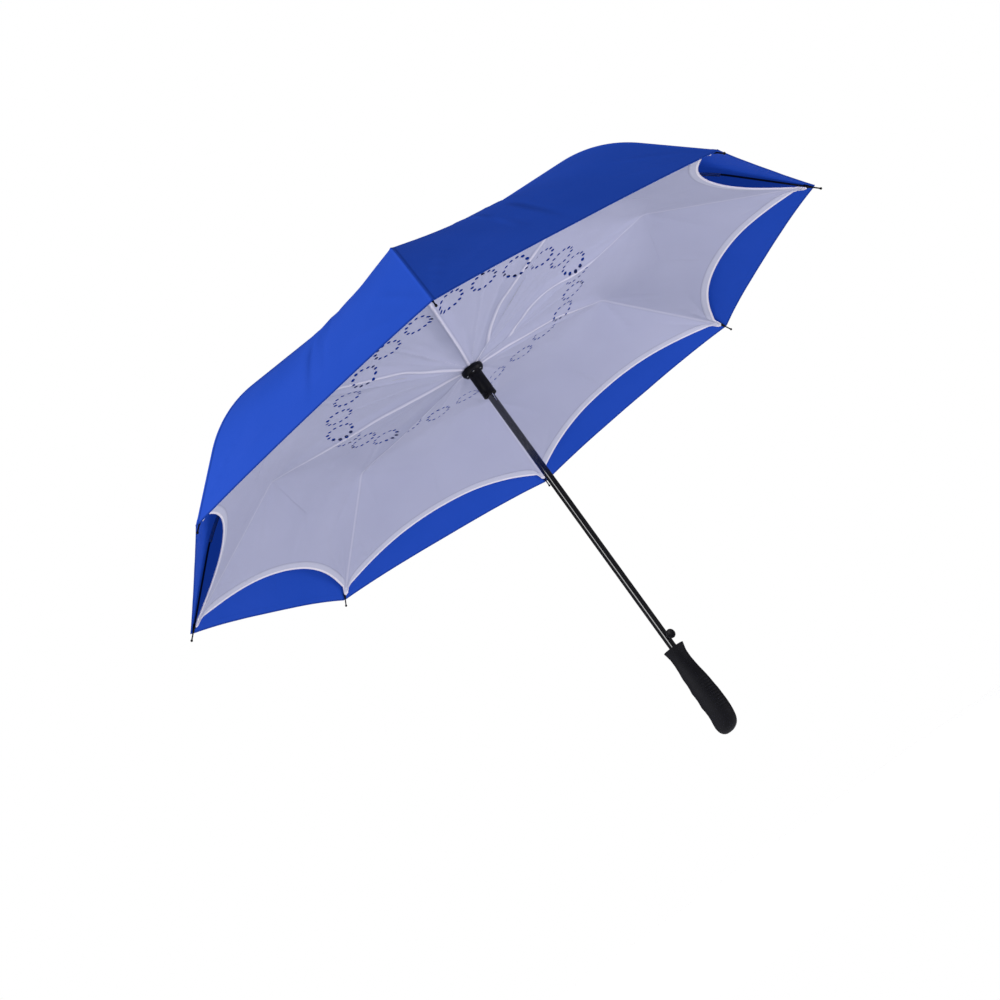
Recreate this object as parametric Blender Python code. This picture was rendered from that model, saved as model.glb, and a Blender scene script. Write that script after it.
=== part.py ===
"""Inverted umbrella with two canopies on eight folding ribs.

Units are metres, +Z points up along the shaft, and the origin is on the shaft's axis
at the middle of the grip, where the hand holds it. The umbrella stands open.
Each rib is a small linkage: an upper strut hangs on the fixed notch at the top of the
shaft, a lower strut stands on the runner, and an outer rib joins both and bows out to
the rim. The blue canopy lies on the upper struts and outer ribs, and the white one
hangs just under the lower struts, so the two fold inside out together.
Heights called rise are measured up from the plane of the rib tips.
"""
import math

import bmesh
import bpy
from mathutils import Matrix, Vector

# Driving dimensions of the whole umbrella
rib_count = 8
half_gore = math.pi / rib_count
first_rib_angle = math.radians(-90)
rim_radius = 0.530
rim_rise = 0.002
apex_rise = 0.260
fit_gap = 0.0003
slot_gap = 0.0005
overrun = 0.002

# Outer canopy: a straight cone at the crown that bows over to the rim
crown_angle = math.radians(17.3)
rim_angle = math.radians(46.4)
crest_radius = 0.260
gore_sag = 0.010
sag_full_radius = 0.300
cloth_thickness = 0.0005
cloth_clearance = 0.0010
crown_opening_radius = 0.007

# Inner canopy: clamped at the runner, lifted at the rib joints, hemmed in arcs
inner_opening_radius = 0.012
inner_sag = 0.003
pocket_radius = 0.521
pocket_rise = 0.002
hem_middle_radius = 0.424
hem_middle_rise = 0.038

# Struts and ribs
strut_width = 0.0034
strut_height = 0.0040
strut_wall = 0.0006
eye_radius = 0.0030
eye_hole_radius = 0.0017
rib_width = 0.0030
rod_radius = 0.0015
chamfer_share = 0.586
channel_chamfer = 0.0004
bracket_end_radius = 0.0026
elbow_pin_radius = 0.0011
elbow_head_radius = 0.0018
elbow_head_height = 0.0008
joint_head_radius = 0.0020
joint_head_height = 0.0008
tip_pin_radius = 0.0008
tip_ball_radius = 0.0017
tip_reach = 0.0085
wire_radius = 0.0005

# The struts lie on either side of the rib, and hang below the cloth
strut_offset = (rib_width + strut_width) / 2 + fit_gap
elbow_drop = cloth_thickness + eye_radius + cloth_clearance + slot_gap
channel_drop = cloth_thickness + strut_height / 2 + cloth_clearance
rod_drop = cloth_thickness + rod_radius + cloth_clearance

# Shaft
shaft_radius = 0.0055
shaft_wall = 0.0008
shaft_stub = 0.0045
shaft_foot_depth = 0.058
shaft_sides = 24

# Notch at the top of the shaft, with its washer and cap
notch_wall = 0.0027
notch_below_pivot = 0.0045
notch_above_pivot = 0.0036
disc_lip = 0.0018
washer_radius = 0.0110
cap_radius = 0.0170
cap_edge = 0.0025
cap_height = 0.0130
cap_face_radius = 0.0065
cap_shoulder = 0.0040

# Latch and button, on the side of the back of the hand
handle_angle = math.radians(-60)
latch_width = 0.0013
latch_length = 0.0120
latch_reach = 0.0072
latch_depth = 0.0030
latch_groove_gap = 0.0010
button_above_grip = 0.0155
button_face_radius = 0.0062
button_reach = 0.0172
button_face_edge = 0.0015
button_neck_radius = 0.0029
button_neck_reach = 0.0098
button_tail = 0.0020

# Runner, with its collar
runner_sides = 28
runner_wall = 0.0046
runner_bore_gap = 0.0004
neck_wall = 0.0018
neck_length = 0.0532
neck_radius = latch_reach + latch_groove_gap + neck_wall
runner_disc_below_pivot = 0.0025
runner_disc_above_pivot = 0.0070
collar_radius = 0.0165
collar_height = 0.0092
collar_bevel = 0.0030
cloth_below_pivot = eye_radius + cloth_clearance + slot_gap

# Linkage pivots in the plane of a rib, as radius from the shaft and rise
pivot_below_apex = 0.0100
runner_pivot_rise = 0.0825
joint_radius = 0.3180
joint_rise = 0.1185
notch_core_radius = shaft_radius + fit_gap + notch_wall
top_pivot = (notch_core_radius + slot_gap + eye_radius, apex_rise - pivot_below_apex)
runner_core_radius = shaft_radius + runner_bore_gap + runner_wall
runner_pivot = (runner_core_radius + slot_gap + eye_radius, runner_pivot_rise)
joint_pivot = (joint_radius, joint_rise)
elbow_radius = 0.300
channel_end_radius = 0.437

# Grip, with the origin at its middle
grip_top_rise = -0.3995
grip_length = 0.133
grip_half_width = 0.0165
grip_sides = 24
rim_height = grip_length / 2 - grip_top_rise

# Drive spring inside the shaft, from above the button to below the latch
spring_radius = 0.0034
spring_wire_radius = 0.0006
spring_turns = 26
spring_above_button = 0.0120
spring_below_latch = 0.0060

# Colours as linear values, with roughness and metallic
finishes = {
    "blue_cloth": ((0.035, 0.110, 0.620), 0.75, 0.0),
    "white_cloth": ((0.640, 0.650, 0.780), 0.80, 0.0),
    "strut_steel": ((0.420, 0.430, 0.450), 0.35, 1.0),
    "rib_black": ((0.012, 0.012, 0.015), 0.40, 0.0),
    "shaft_black": ((0.008, 0.008, 0.011), 0.18, 0.0),
    "black_plastic": ((0.012, 0.012, 0.015), 0.45, 0.0),
    "black_rubber": ((0.010, 0.010, 0.014), 0.75, 0.0),
    "bright_steel": ((0.720, 0.720, 0.700), 0.22, 1.0),
}


# Basic shapes


def clear_scene():
    for old in list(bpy.data.objects):
        bpy.data.objects.remove(old, do_unlink=True)


def material(name):
    made = bpy.data.materials.get(name)
    if made is None:
        colour, roughness, metallic = finishes[name]
        made = bpy.data.materials.new(name)
        made.use_nodes = True
        shader = made.node_tree.nodes["Principled BSDF"]
        shader.inputs["Base Color"].default_value = (*colour, 1.0)
        shader.inputs["Roughness"].default_value = roughness
        shader.inputs["Metallic"].default_value = metallic
        made.diffuse_color = (*colour, 1.0)
    return made


def mesh_from(bm, name):
    """Turn a bmesh into a mesh with its faces pointing out."""
    bmesh.ops.recalc_face_normals(bm, faces=bm.faces)
    mesh = bpy.data.meshes.new(name)
    bm.to_mesh(mesh)
    bm.free()
    return mesh


def loft(name, rings, closed=False):
    """Skin a list of rings that have the same number of points."""
    bm = bmesh.new()
    made = [[bm.verts.new(point) for point in ring] for ring in rings]
    pairs = list(zip(made[:-1], made[1:]))
    if closed:
        pairs.append((made[-1], made[0]))
    for low, high in pairs:
        for k in range(len(low)):
            following = (k + 1) % len(low)
            bm.faces.new((low[k], low[following], high[following], high[k]))
    if not closed:
        bm.faces.new(made[0])
        bm.faces.new(made[-1])
    return mesh_from(bm, name)


def turned(name, profile, sides):
    """Turn a closed outline of (radius, height) around Z. Radius 0 makes a pole."""
    bm = bmesh.new()
    columns = []
    poles = {}
    for step in range(sides):
        angle = 2 * math.pi * step / sides
        column = []
        for k, (radius, height) in enumerate(profile):
            if radius == 0:
                if k not in poles:
                    poles[k] = bm.verts.new((0, 0, height))
                column.append(poles[k])
            else:
                place = (radius * math.cos(angle), radius * math.sin(angle), height)
                column.append(bm.verts.new(place))
        columns.append(column)
    for step in range(sides):
        here, there = columns[step], columns[(step + 1) % sides]
        for k in range(len(profile)):
            after = (k + 1) % len(profile)
            corners = []
            for corner in (here[k], here[after], there[after], there[k]):
                if corner not in corners:
                    corners.append(corner)
            if len(corners) > 2:
                bm.faces.new(corners)
    return mesh_from(bm, name)


def rod_between(name, start, end, radius, sides):
    """A plain round bar from one point to another."""
    start, end = Vector(start), Vector(end)
    along = (end - start).normalized()
    across = along.orthogonal().normalized()
    other = along.cross(across)
    rings = []
    for centre in (start, end):
        ring = []
        for k in range(sides):
            angle = 2 * math.pi * (k + 0.5) / sides
            ring.append(centre + radius * (math.cos(angle) * across + math.sin(angle) * other))
        rings.append(ring)
    return loft(name, rings)


def plate(name, outline, low_y, high_y):
    """Extrude an outline in the XZ plane from low_y to high_y."""
    return loft(name, [[Vector((x, y, z)) for x, z in outline] for y in (low_y, high_y)])


def block(name, low, high):
    """A box between two corners, used for cuts."""
    outline = [(low[0], low[2]), (high[0], low[2]), (high[0], high[2]), (low[0], high[2])]
    return plate(name, outline, low[1], high[1])


def shaped(mesh, others, operation):
    """Apply exact Booleans of the other meshes to a mesh and return the result."""
    body = bpy.data.objects.new(mesh.name, mesh)
    bpy.context.collection.objects.link(body)
    tools = []
    for other in others:
        tool = bpy.data.objects.new(other.name, other)
        bpy.context.collection.objects.link(tool)
        step = body.modifiers.new(other.name, "BOOLEAN")
        step.operation = operation
        step.solver = "EXACT"
        step.object = tool
        tools.append(tool)
    graph = bpy.context.evaluated_depsgraph_get()
    result = bpy.data.meshes.new_from_object(body.evaluated_get(graph))
    result.name = mesh.name
    for gone in [body] + tools:
        bpy.data.objects.remove(gone, do_unlink=True)
    return result


def smooth(mesh, degrees=35):
    mesh.shade_smooth()
    mesh.set_sharp_from_angle(angle=math.radians(degrees))


def place(name, mesh, finish, location=(0, 0, 0), angle=0.0):
    """Put a mesh in the scene as one named sub-part."""
    made = bpy.data.objects.new(name, mesh)
    bpy.context.collection.objects.link(made)
    if not mesh.materials:
        mesh.materials.append(material(finish))
    made.location = location
    made.rotation_euler = (0, 0, angle)
    return made


def world_height(rise):
    return rim_height + rise


# Canopy surfaces, in the frame of a rib: X outward, Y along the rim, Z as rise


def crest_points():
    """Corner of the crown and rim lines, and where the crest arc meets each line."""
    rim_foot = rim_rise + math.tan(rim_angle) * rim_radius
    corner = (rim_foot - apex_rise) / (math.tan(rim_angle) - math.tan(crown_angle))
    reach = crest_radius * math.tan((rim_angle - crown_angle) / 2)
    start = corner - reach * math.cos(crown_angle)
    end = corner + reach * math.cos(rim_angle)
    return start, end


def outer_line(radius):
    """Rise and downward slope angle of the blue canopy above a rib."""
    start, end = crest_points()
    if radius <= start:
        return apex_rise - math.tan(crown_angle) * radius, crown_angle
    if radius >= end:
        return rim_rise + math.tan(rim_angle) * (rim_radius - radius), rim_angle
    centre_radius = start - crest_radius * math.sin(crown_angle)
    centre_rise = apex_rise - math.tan(crown_angle) * start - crest_radius * math.cos(crown_angle)
    angle = math.asin((radius - centre_radius) / crest_radius)
    return centre_rise + crest_radius * math.cos(angle), angle


def hub_share(radius):
    """How far a place lies from the runner's clamp, 0, to the rib joints, 1."""
    return (radius - inner_opening_radius) / (joint_pivot[0] - inner_opening_radius)


def inner_line(radius):
    """Rise of the white canopy under a rib, from the runner to its tip pocket."""
    if radius <= joint_pivot[0]:
        pivots = runner_pivot[1] + hub_share(radius) * (joint_pivot[1] - runner_pivot[1])
        return pivots - cloth_below_pivot
    start_rise = joint_pivot[1] - cloth_below_pivot
    share = (radius - joint_pivot[0]) / (pocket_radius - joint_pivot[0])
    return start_rise + share * (pocket_rise - start_rise)


def gore_point(side, out, along, rise):
    """A point given from the middle line of the gore on one side of a rib."""
    along = max(along, fit_gap / 2)
    x = out * math.cos(half_gore) + along * math.sin(half_gore)
    y = side * (out * math.sin(half_gore) - along * math.cos(half_gore))
    return Vector((x, y, rise))


def outer_point(side, share, radius):
    """Blue canopy: share is 1 on the rib and 0 in the middle of the gore."""
    rise, slope = outer_line(radius)
    sag = gore_sag * min(radius / sag_full_radius, 1) * (1 - share**2)
    out = radius * math.cos(half_gore) - sag * math.sin(slope)
    return gore_point(side, out, share * radius * math.sin(half_gore), rise - sag * math.cos(slope))


def inner_point(side, share, radius):
    """White canopy between the runner and the rib joints."""
    sag = inner_sag * hub_share(radius) * (1 - share**2)
    out = radius * math.cos(half_gore)
    return gore_point(side, out, share * radius * math.sin(half_gore), inner_line(radius) - sag)


def hem_point(side, share):
    """The hem of the white canopy, drawn in between two tip pockets."""
    pocket_out = pocket_radius * math.cos(half_gore)
    out = hem_middle_radius + (pocket_out - hem_middle_radius) * share**2
    rise = hem_middle_rise + (pocket_rise - hem_middle_rise) * share**2
    return gore_point(side, out, share * pocket_radius * math.sin(half_gore), rise)


def rim_gore_point(side, share, reach):
    """White canopy outside the rib joints: reach is 0 at the joints and 1 at the hem."""
    return inner_point(side, share, joint_pivot[0]).lerp(hem_point(side, share), reach)


across_shares = (0.0, 0.34, 0.67, 1.0)


def across(row):
    """Call row for every column of a leaf, from one gore's middle over the rib to the other."""
    left = [row(-1, share) for share in across_shares]
    right = [row(1, share) for share in reversed(across_shares[:-1])]
    return left + right


def cloth(name, rows, origin, thickness):
    """A thin closed solid from rows of points, with its other side thickness away in Z."""
    shift = Vector((origin[0], 0, origin[1]))
    lift = Vector((0, 0, thickness))
    bm = bmesh.new()
    near = [[bm.verts.new(point - shift) for point in row] for row in rows]
    far = [[bm.verts.new(point - shift + lift) for point in row] for row in rows]
    count, width = len(rows), len(rows[0])
    for i in range(count - 1):
        for j in range(width - 1):
            for layer in (near, far):
                bm.faces.new((layer[i][j], layer[i][j + 1], layer[i + 1][j + 1], layer[i + 1][j]))
    for i in range(count - 1):
        for j in (0, width - 1):
            bm.faces.new((near[i][j], near[i + 1][j], far[i + 1][j], far[i][j]))
    for j in range(width - 1):
        for i in (0, count - 1):
            bm.faces.new((near[i][j], near[i][j + 1], far[i][j + 1], far[i][j]))
    mesh = mesh_from(bm, name)
    smooth(mesh)
    return mesh


crown_station_shares = (0.0, 0.3, 0.65, 1.0)
channel_station_shares = (0.0, 0.29, 0.55, 0.8, 1.0)
rod_station_shares = (0.35, 0.68, 1.0)
inner_station_shares = (0.0, 0.35, 0.7, 1.0)
hem_station_shares = (0.3, 0.65, 1.0)


def between(low, high, shares):
    return [low + share * (high - low) for share in shares]


channel_stations = between(elbow_radius, channel_end_radius, channel_station_shares)
rod_stations = between(channel_end_radius, rim_radius, rod_station_shares)


def crown_leaf():
    rows = []
    for radius in between(crown_opening_radius, elbow_radius - fit_gap / 2, crown_station_shares):
        rows.append(across(lambda side, share: outer_point(side, share, radius)))
    return cloth("crown_leaf", rows, top_pivot, -cloth_thickness)


def rim_leaf():
    rows = []
    for station in channel_stations + rod_stations:
        radius = max(station, elbow_radius + fit_gap / 2)
        rows.append(across(lambda side, share: outer_point(side, share, radius)))
    return cloth("rim_leaf", rows, elbow_pivot(), -cloth_thickness)


def inner_leaf():
    rows = []
    for radius in between(inner_opening_radius, joint_pivot[0], inner_station_shares):
        rows.append(across(lambda side, share: inner_point(side, share, radius)))
    for reach in hem_station_shares:
        rows.append(across(lambda side, share: rim_gore_point(side, share, reach)))
    return cloth("inner_leaf", rows, runner_pivot, cloth_thickness)


# Linkage


def elbow_pivot():
    """Where an upper strut meets its outer rib, under the blue canopy."""
    rise, slope = outer_line(elbow_radius)
    return elbow_radius, rise - elbow_drop / math.cos(slope)


def strut(name, start, end, offset, pin_head=0.0):
    """A channel-section strut between two pivots, with an eye at each end."""
    length = math.dist(start, end)
    angle = math.atan2(end[1] - start[1], end[0] - start[0])
    low, high = offset - strut_width / 2, offset + strut_width / 2
    edge, roof = strut_height / 2, strut_height / 2 - strut_wall
    section = [
        (low, -edge),
        (low, edge),
        (high, edge),
        (high, -edge),
        (high - strut_wall, -edge),
        (high - strut_wall, roof),
        (low + strut_wall, roof),
        (low + strut_wall, -edge),
    ]
    ends = (strut_height / 2, length - strut_height / 2)
    channel = loft(name, [[Vector((x, y, z)) for y, z in section] for x in ends])
    eyes = [
        rod_between("eye", (x, low, 0), (x, high, 0), eye_radius, 12) for x in (0, length)
    ]
    if pin_head:
        head_foot = (length, high, 0)
        head_top = (length, high + pin_head, 0)
        head = rod_between("head", head_foot, head_top, joint_head_radius, 12)
        whole = shaped(channel, [eyes[0], shaped(eyes[1], [head], "UNION")], "UNION")
        holes = (0,)
    else:
        whole = shaped(channel, eyes, "UNION")
        holes = (0, length)
    drills = [
        rod_between("drill", (x, low - overrun, 0), (x, high + overrun, 0), eye_hole_radius, 10)
        for x in holes
    ]
    whole = shaped(whole, drills, "DIFFERENCE")
    whole.transform(Matrix.Rotation(-angle, 4, "Y"))
    smooth(whole)
    return whole


def rib_ring(centre, slope, half_width, half_height, chamfer):
    """An eight-sided section across a rib that runs down at the slope angle."""
    normal = Vector((math.sin(slope), 0, math.cos(slope)))
    side = Vector((0, 1, 0))
    w, h, c = half_width, half_height, chamfer
    corners = [(w, h - c), (w - c, h), (c - w, h), (-w, h - c)]
    corners += [(-y, -z) for y, z in corners]
    return [centre + y * side + z * normal for y, z in corners]


def outer_rib():
    """Channel, bowed rod and tip, with the bracket that the lower strut holds."""
    elbow = elbow_pivot()
    shift = Vector((elbow[0], 0, elbow[1]))
    channel = (rib_width / 2, strut_height / 2, channel_chamfer)
    rod = (rod_radius, rod_radius, rod_radius * chamfer_share)
    pin = (tip_pin_radius, tip_pin_radius, tip_pin_radius * chamfer_share)
    ball = (tip_ball_radius, tip_ball_radius, tip_ball_radius * chamfer_share)

    def ring_at(radius, drop, section, reach=0.0):
        rise, slope = outer_line(radius)
        x = radius - drop * math.sin(slope) + reach * math.cos(slope)
        z = rise - drop * math.cos(slope) - reach * math.sin(slope)
        return rib_ring(Vector((x, 0, z)) - shift, slope, *section)

    rings = [ring_at(elbow_radius, elbow_drop, channel)]
    rings += [ring_at(station, channel_drop, channel) for station in channel_stations[1:]]
    rings.append(ring_at(channel_end_radius, rod_drop, rod, reach=fit_gap))
    rings += [ring_at(station, rod_drop, rod) for station in rod_stations[:-1]]
    rings.append(ring_at(rim_radius, rod_drop, rod, reach=-tip_reach))
    rings.append(ring_at(rim_radius, rod_drop, pin, reach=-tip_reach + fit_gap))
    ball_middle = tip_reach - tip_ball_radius
    rings.append(ring_at(rim_radius, rod_drop, pin, reach=ball_middle - tip_ball_radius))
    rings.append(ring_at(rim_radius, rod_drop, ball, reach=ball_middle - tip_ball_radius / 2))
    rings.append(ring_at(rim_radius, rod_drop, ball, reach=ball_middle + tip_ball_radius / 2))
    rings.append(ring_at(rim_radius, rod_drop, pin, reach=ball_middle + tip_ball_radius))
    arm = loft("outer_rib", rings)

    joint = (joint_pivot[0] - elbow[0], joint_pivot[1] - elbow[1])
    angle = math.atan2(joint[1], joint[0])
    outline = []
    for centre, start in (((0, 0), angle + math.pi / 2), (joint, angle - math.pi / 2)):
        for step in range(7):
            turn = start + math.pi * step / 6
            outline.append((
                centre[0] + bracket_end_radius * math.cos(turn),
                centre[1] + bracket_end_radius * math.sin(turn),
            ))
    half = rib_width / 2
    bracket = plate("bracket", outline, -half, half)
    seat = -strut_offset - strut_width / 2 - fit_gap
    pin_end = (0, seat - elbow_head_height / 2, 0)
    elbow_pin = rod_between("pin", (0, 0, 0), pin_end, elbow_pin_radius, 8)
    head = rod_between("head", (0, seat, 0), (0, seat - elbow_head_height, 0), elbow_head_radius, 10)
    whole = shaped(arm, [bracket, elbow_pin, head], "UNION")
    smooth(whole)
    return whole


# Hub parts


def wire_ring_radius(pivot_radius):
    """The wire meets each strut's pivot to one side of the rib's middle plane."""
    return math.hypot(pivot_radius, strut_offset)


def disc_radius(pivot_radius):
    return wire_ring_radius(pivot_radius) + wire_radius + disc_lip


def ring_wire(name, pivot_radius, rise):
    """The wire that the strut eyes hang on."""
    radius = wire_ring_radius(pivot_radius)
    rings = []
    for step in range(shaft_sides):
        angle = 2 * math.pi * step / shaft_sides
        out = Vector((math.cos(angle), math.sin(angle), 0))
        ring = []
        for k in range(6):
            turn = 2 * math.pi * k / 6
            lift = Vector((0, 0, wire_radius * math.sin(turn)))
            ring.append(out * (radius + wire_radius * math.cos(turn)) + lift)
        rings.append(ring)
    mesh = loft(name, rings, closed=True)
    smooth(mesh, 70)
    return place(name, mesh, "bright_steel", (0, 0, world_height(rise)))


def strut_slots(core_radius, outer_radius, low, high, offset):
    """Cutters for the slots that the strut eyes sit in."""
    cutters = []
    half = strut_width / 2 + fit_gap
    for k in range(rib_count):
        slot = block(
            "slot",
            (core_radius, offset - half, low - overrun),
            (outer_radius + overrun, offset + half, high + overrun),
        )
        slot.transform(Matrix.Rotation(first_rib_angle + 2 * half_gore * k, 4, "Z"))
        cutters.append(slot)
    return cutters


def wire_groove(low, high, pivot_radius, wide):
    """Profile points of the groove that holds the wire, from high to low."""
    clear = wire_radius + fit_gap
    depth = wire_ring_radius(pivot_radius) - clear
    return [
        (wide, high),
        (wide, clear),
        (depth, clear),
        (depth, -clear),
        (wide, -clear),
        (wide, low),
    ]


def make_top_notch():
    bore = shaft_radius + fit_gap
    low, high = -notch_below_pivot, notch_above_pivot
    notch_radius = disc_radius(top_pivot[0])
    profile = [(bore, high)] + wire_groove(low, high, top_pivot[0], notch_radius) + [(bore, low)]
    disc = turned("top_notch", profile, runner_sides)
    slots = strut_slots(notch_core_radius, notch_radius, low, high, -strut_offset)
    mesh = shaped(disc, slots, "DIFFERENCE")
    smooth(mesh)
    place("top_notch", mesh, "black_plastic", (0, 0, world_height(top_pivot[1])))
    ring_wire("top_notch_wire", top_pivot[0], top_pivot[1])


def under_cloth(radius):
    """Rise just under the blue canopy near its apex."""
    return outer_line(radius)[0] - cloth_thickness - 2 * fit_gap


def make_crown():
    """Washer under the blue canopy and cap over it."""
    bore = shaft_radius + fit_gap
    washer_foot = top_pivot[1] + notch_above_pivot + fit_gap
    washer = turned(
        "crown_washer",
        [
            (bore, under_cloth(bore / math.cos(half_gore))),
            (washer_radius, under_cloth(washer_radius / math.cos(half_gore))),
            (washer_radius, washer_foot),
            (bore, washer_foot),
        ],
        shaft_sides,
    )
    smooth(washer)
    place("crown_washer", washer, "black_plastic", (0, 0, world_height(0)))

    socket_roof = shaft_top_rise() + fit_gap
    top = apex_rise + cap_height
    cap = turned(
        "crown_cap",
        [
            (0, socket_roof),
            (0, top),
            (cap_face_radius, top),
            (cap_radius - cap_shoulder, outer_line(0)[0] + cap_edge),
            (cap_radius, outer_line(cap_radius)[0] + cap_edge),
            (cap_radius, outer_line(cap_radius)[0] + fit_gap),
            (bore, outer_line(bore)[0] + fit_gap),
            (bore, socket_roof),
        ],
        runner_sides,
    )
    smooth(cap)
    place("crown_cap", cap, "black_plastic", (0, 0, world_height(0)))


def make_runner():
    """Runner with its neck, the disc for the lower struts, and the collar below the cloth."""
    pivot_radius, pivot_rise = runner_pivot
    bore = shaft_radius + runner_bore_gap
    foot = -neck_length
    runner_disc_radius = disc_radius(pivot_radius)
    latch_groove_radius = latch_reach + latch_groove_gap
    low, high = -runner_disc_below_pivot, runner_disc_above_pivot
    profile = [(bore, high)]
    profile += wire_groove(low, high, pivot_radius, runner_disc_radius)
    profile += [(runner_core_radius, low), (runner_core_radius, -cloth_below_pivot)]
    profile += [(neck_radius, -cloth_below_pivot), (neck_radius, foot), (bore, foot)]
    body = turned("runner", profile, runner_sides)
    cuts = strut_slots(runner_core_radius, runner_disc_radius, low, high, strut_offset)
    half = latch_width / 2 + slot_gap
    groove = block("groove", (0, -half, foot - overrun), (latch_groove_radius, half, high + overrun))
    groove.transform(Matrix.Rotation(handle_angle, 4, "Z"))
    mesh = shaped(body, cuts + [groove], "DIFFERENCE")
    smooth(mesh)
    place("runner", mesh, "black_plastic", (0, 0, world_height(pivot_rise)))
    ring_wire("runner_wire", pivot_radius, pivot_rise)

    top = -cloth_below_pivot - fit_gap
    inside = neck_radius + fit_gap
    collar = turned(
        "runner_collar",
        [
            (inside, top),
            (collar_radius, top),
            (collar_radius, top - collar_height + collar_bevel),
            (collar_radius - collar_bevel, top - collar_height),
            (inside, top - collar_height),
        ],
        runner_sides,
    )
    smooth(collar)
    place("runner_collar", collar, "black_plastic", (0, 0, world_height(pivot_rise)))


# Shaft, latch, button, spring and grip


def shaft_foot_rise():
    return grip_top_rise - shaft_foot_depth


def shaft_top_rise():
    return apex_rise + shaft_stub


def latch_top_rise():
    return runner_pivot[1] - neck_length - fit_gap


def button_height():
    return grip_top_rise + button_above_grip


def make_shaft():
    inner = shaft_radius - shaft_wall
    low, high = shaft_foot_rise(), shaft_top_rise()
    profile = [(shaft_radius, high), (shaft_radius, low), (inner, low), (inner, high)]
    tube = turned("shaft_tube", profile, shaft_sides)
    top = latch_top_rise()
    half = latch_width / 2 + slot_gap
    slot = block(
        "slot",
        (0, -half, top - latch_length - slot_gap),
        (shaft_radius + overrun, half, top + slot_gap),
    )
    hole_start = (0, 0, button_height())
    hole_end = (shaft_radius + overrun, 0, button_height())
    hole = rod_between("hole", hole_start, hole_end, button_neck_radius + slot_gap, 14)
    for cut in (slot, hole):
        cut.transform(Matrix.Rotation(handle_angle, 4, "Z"))
    mesh = shaped(tube, [slot, hole], "DIFFERENCE")
    smooth(mesh)
    place("shaft_tube", mesh, "shaft_black", (0, 0, world_height(0)))


def make_latch():
    """Sprung steel catch that stands out of the shaft and carries the open runner."""
    outline = [
        (latch_depth, 0),
        (latch_reach, 0),
        (shaft_radius, -latch_length),
        (latch_depth, -latch_length),
    ]
    mesh = plate("latch_spring", outline, -latch_width / 2, latch_width / 2)
    place("latch_spring", mesh, "bright_steel", (0, 0, world_height(latch_top_rise())), handle_angle)


def make_button():
    """Push button: a round neck through the shaft wall that flares to a flat face."""
    rings = []
    stations = [
        (button_tail, button_neck_radius),
        (button_neck_reach, button_neck_radius),
        (button_reach - button_face_edge, button_face_radius),
        (button_reach, button_face_radius),
    ]
    for reach, radius in stations:
        ring = []
        for k in range(20):
            angle = 2 * math.pi * k / 20
            ring.append(Vector((reach, radius * math.cos(angle), radius * math.sin(angle))))
        rings.append(ring)
    mesh = loft("button", rings)
    smooth(mesh)
    place("button", mesh, "black_plastic", (0, 0, world_height(button_height())), handle_angle)


def make_spring():
    """Compression spring inside the shaft that drives the runner up."""
    turn_steps, wire_sides = 8, 3
    steps = spring_turns * turn_steps
    foot = button_height() + spring_above_button
    length = latch_top_rise() - latch_length - spring_below_latch - foot
    rings = []
    for step in range(steps + 1):
        angle = 2 * math.pi * step / turn_steps
        out = Vector((math.cos(angle), math.sin(angle), 0))
        height = length * step / steps
        ring = []
        for k in range(wire_sides):
            turn = 2 * math.pi * k / wire_sides
            lift = Vector((0, 0, height + spring_wire_radius * math.sin(turn)))
            ring.append(out * (spring_radius + spring_wire_radius * math.cos(turn)) + lift)
        rings.append(ring)
    mesh = loft("drive_spring", rings)
    smooth(mesh, 130)
    place("drive_spring", mesh, "bright_steel", (0, 0, world_height(foot)))


# Grip outline: depth below its top as a share of its length, then the reach of the finger
# side, the reach of the back and half the width as shares of the grip's half width
grip_station_shares = (
    (0.000, 0.96, 0.92, 0.94),
    (0.030, 0.90, 0.82, 0.86),
    (0.090, 0.79, 0.64, 0.73),
    (0.170, 0.76, 0.59, 0.72),
    (0.250, 0.84, 0.67, 0.76),
    (0.310, 0.98, 0.76, 0.81),
    (0.355, 0.92, 0.85, 0.85),
    (0.400, 0.86, 0.91, 0.88),
    (0.445, 0.96, 0.97, 0.92),
    (0.480, 1.08, 1.03, 0.95),
    (0.525, 0.99, 1.09, 0.97),
    (0.575, 0.95, 1.14, 0.99),
    (0.615, 1.01, 1.16, 1.00),
    (0.650, 1.08, 1.17, 1.01),
    (0.695, 0.97, 1.16, 1.01),
    (0.745, 0.92, 1.14, 1.01),
    (0.800, 0.98, 1.09, 1.01),
    (0.850, 1.15, 1.03, 0.99),
    (0.895, 1.27, 0.95, 0.95),
    (0.935, 1.28, 0.79, 0.86),
    (0.965, 1.20, 0.55, 0.72),
    (0.988, 1.00, 0.18, 0.48),
    (1.000, 0.76, -0.24, 0.22),
)


def make_grip():
    """Moulded grip with finger grooves on one side and a full back on the other."""
    rings = []
    for depth, finger, back, width in grip_station_shares:
        centre = grip_half_width * (back - finger) / 2
        half_depth = grip_half_width * (back + finger) / 2
        half_width = grip_half_width * width
        ring = []
        for k in range(grip_sides):
            angle = 2 * math.pi * k / grip_sides
            x = centre + half_depth * math.cos(angle)
            ring.append(Vector((x, half_width * math.sin(angle), -depth * grip_length)))
        rings.append(ring)
    body = loft("grip", rings)
    foot = -shaft_foot_depth - fit_gap
    bore = rod_between("bore", (0, 0, foot), (0, 0, overrun), shaft_radius + fit_gap, shaft_sides)
    mesh = shaped(body, [bore], "DIFFERENCE")
    smooth(mesh, 40)
    place("grip", mesh, "black_rubber", (0, 0, world_height(grip_top_rise)), handle_angle)


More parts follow.
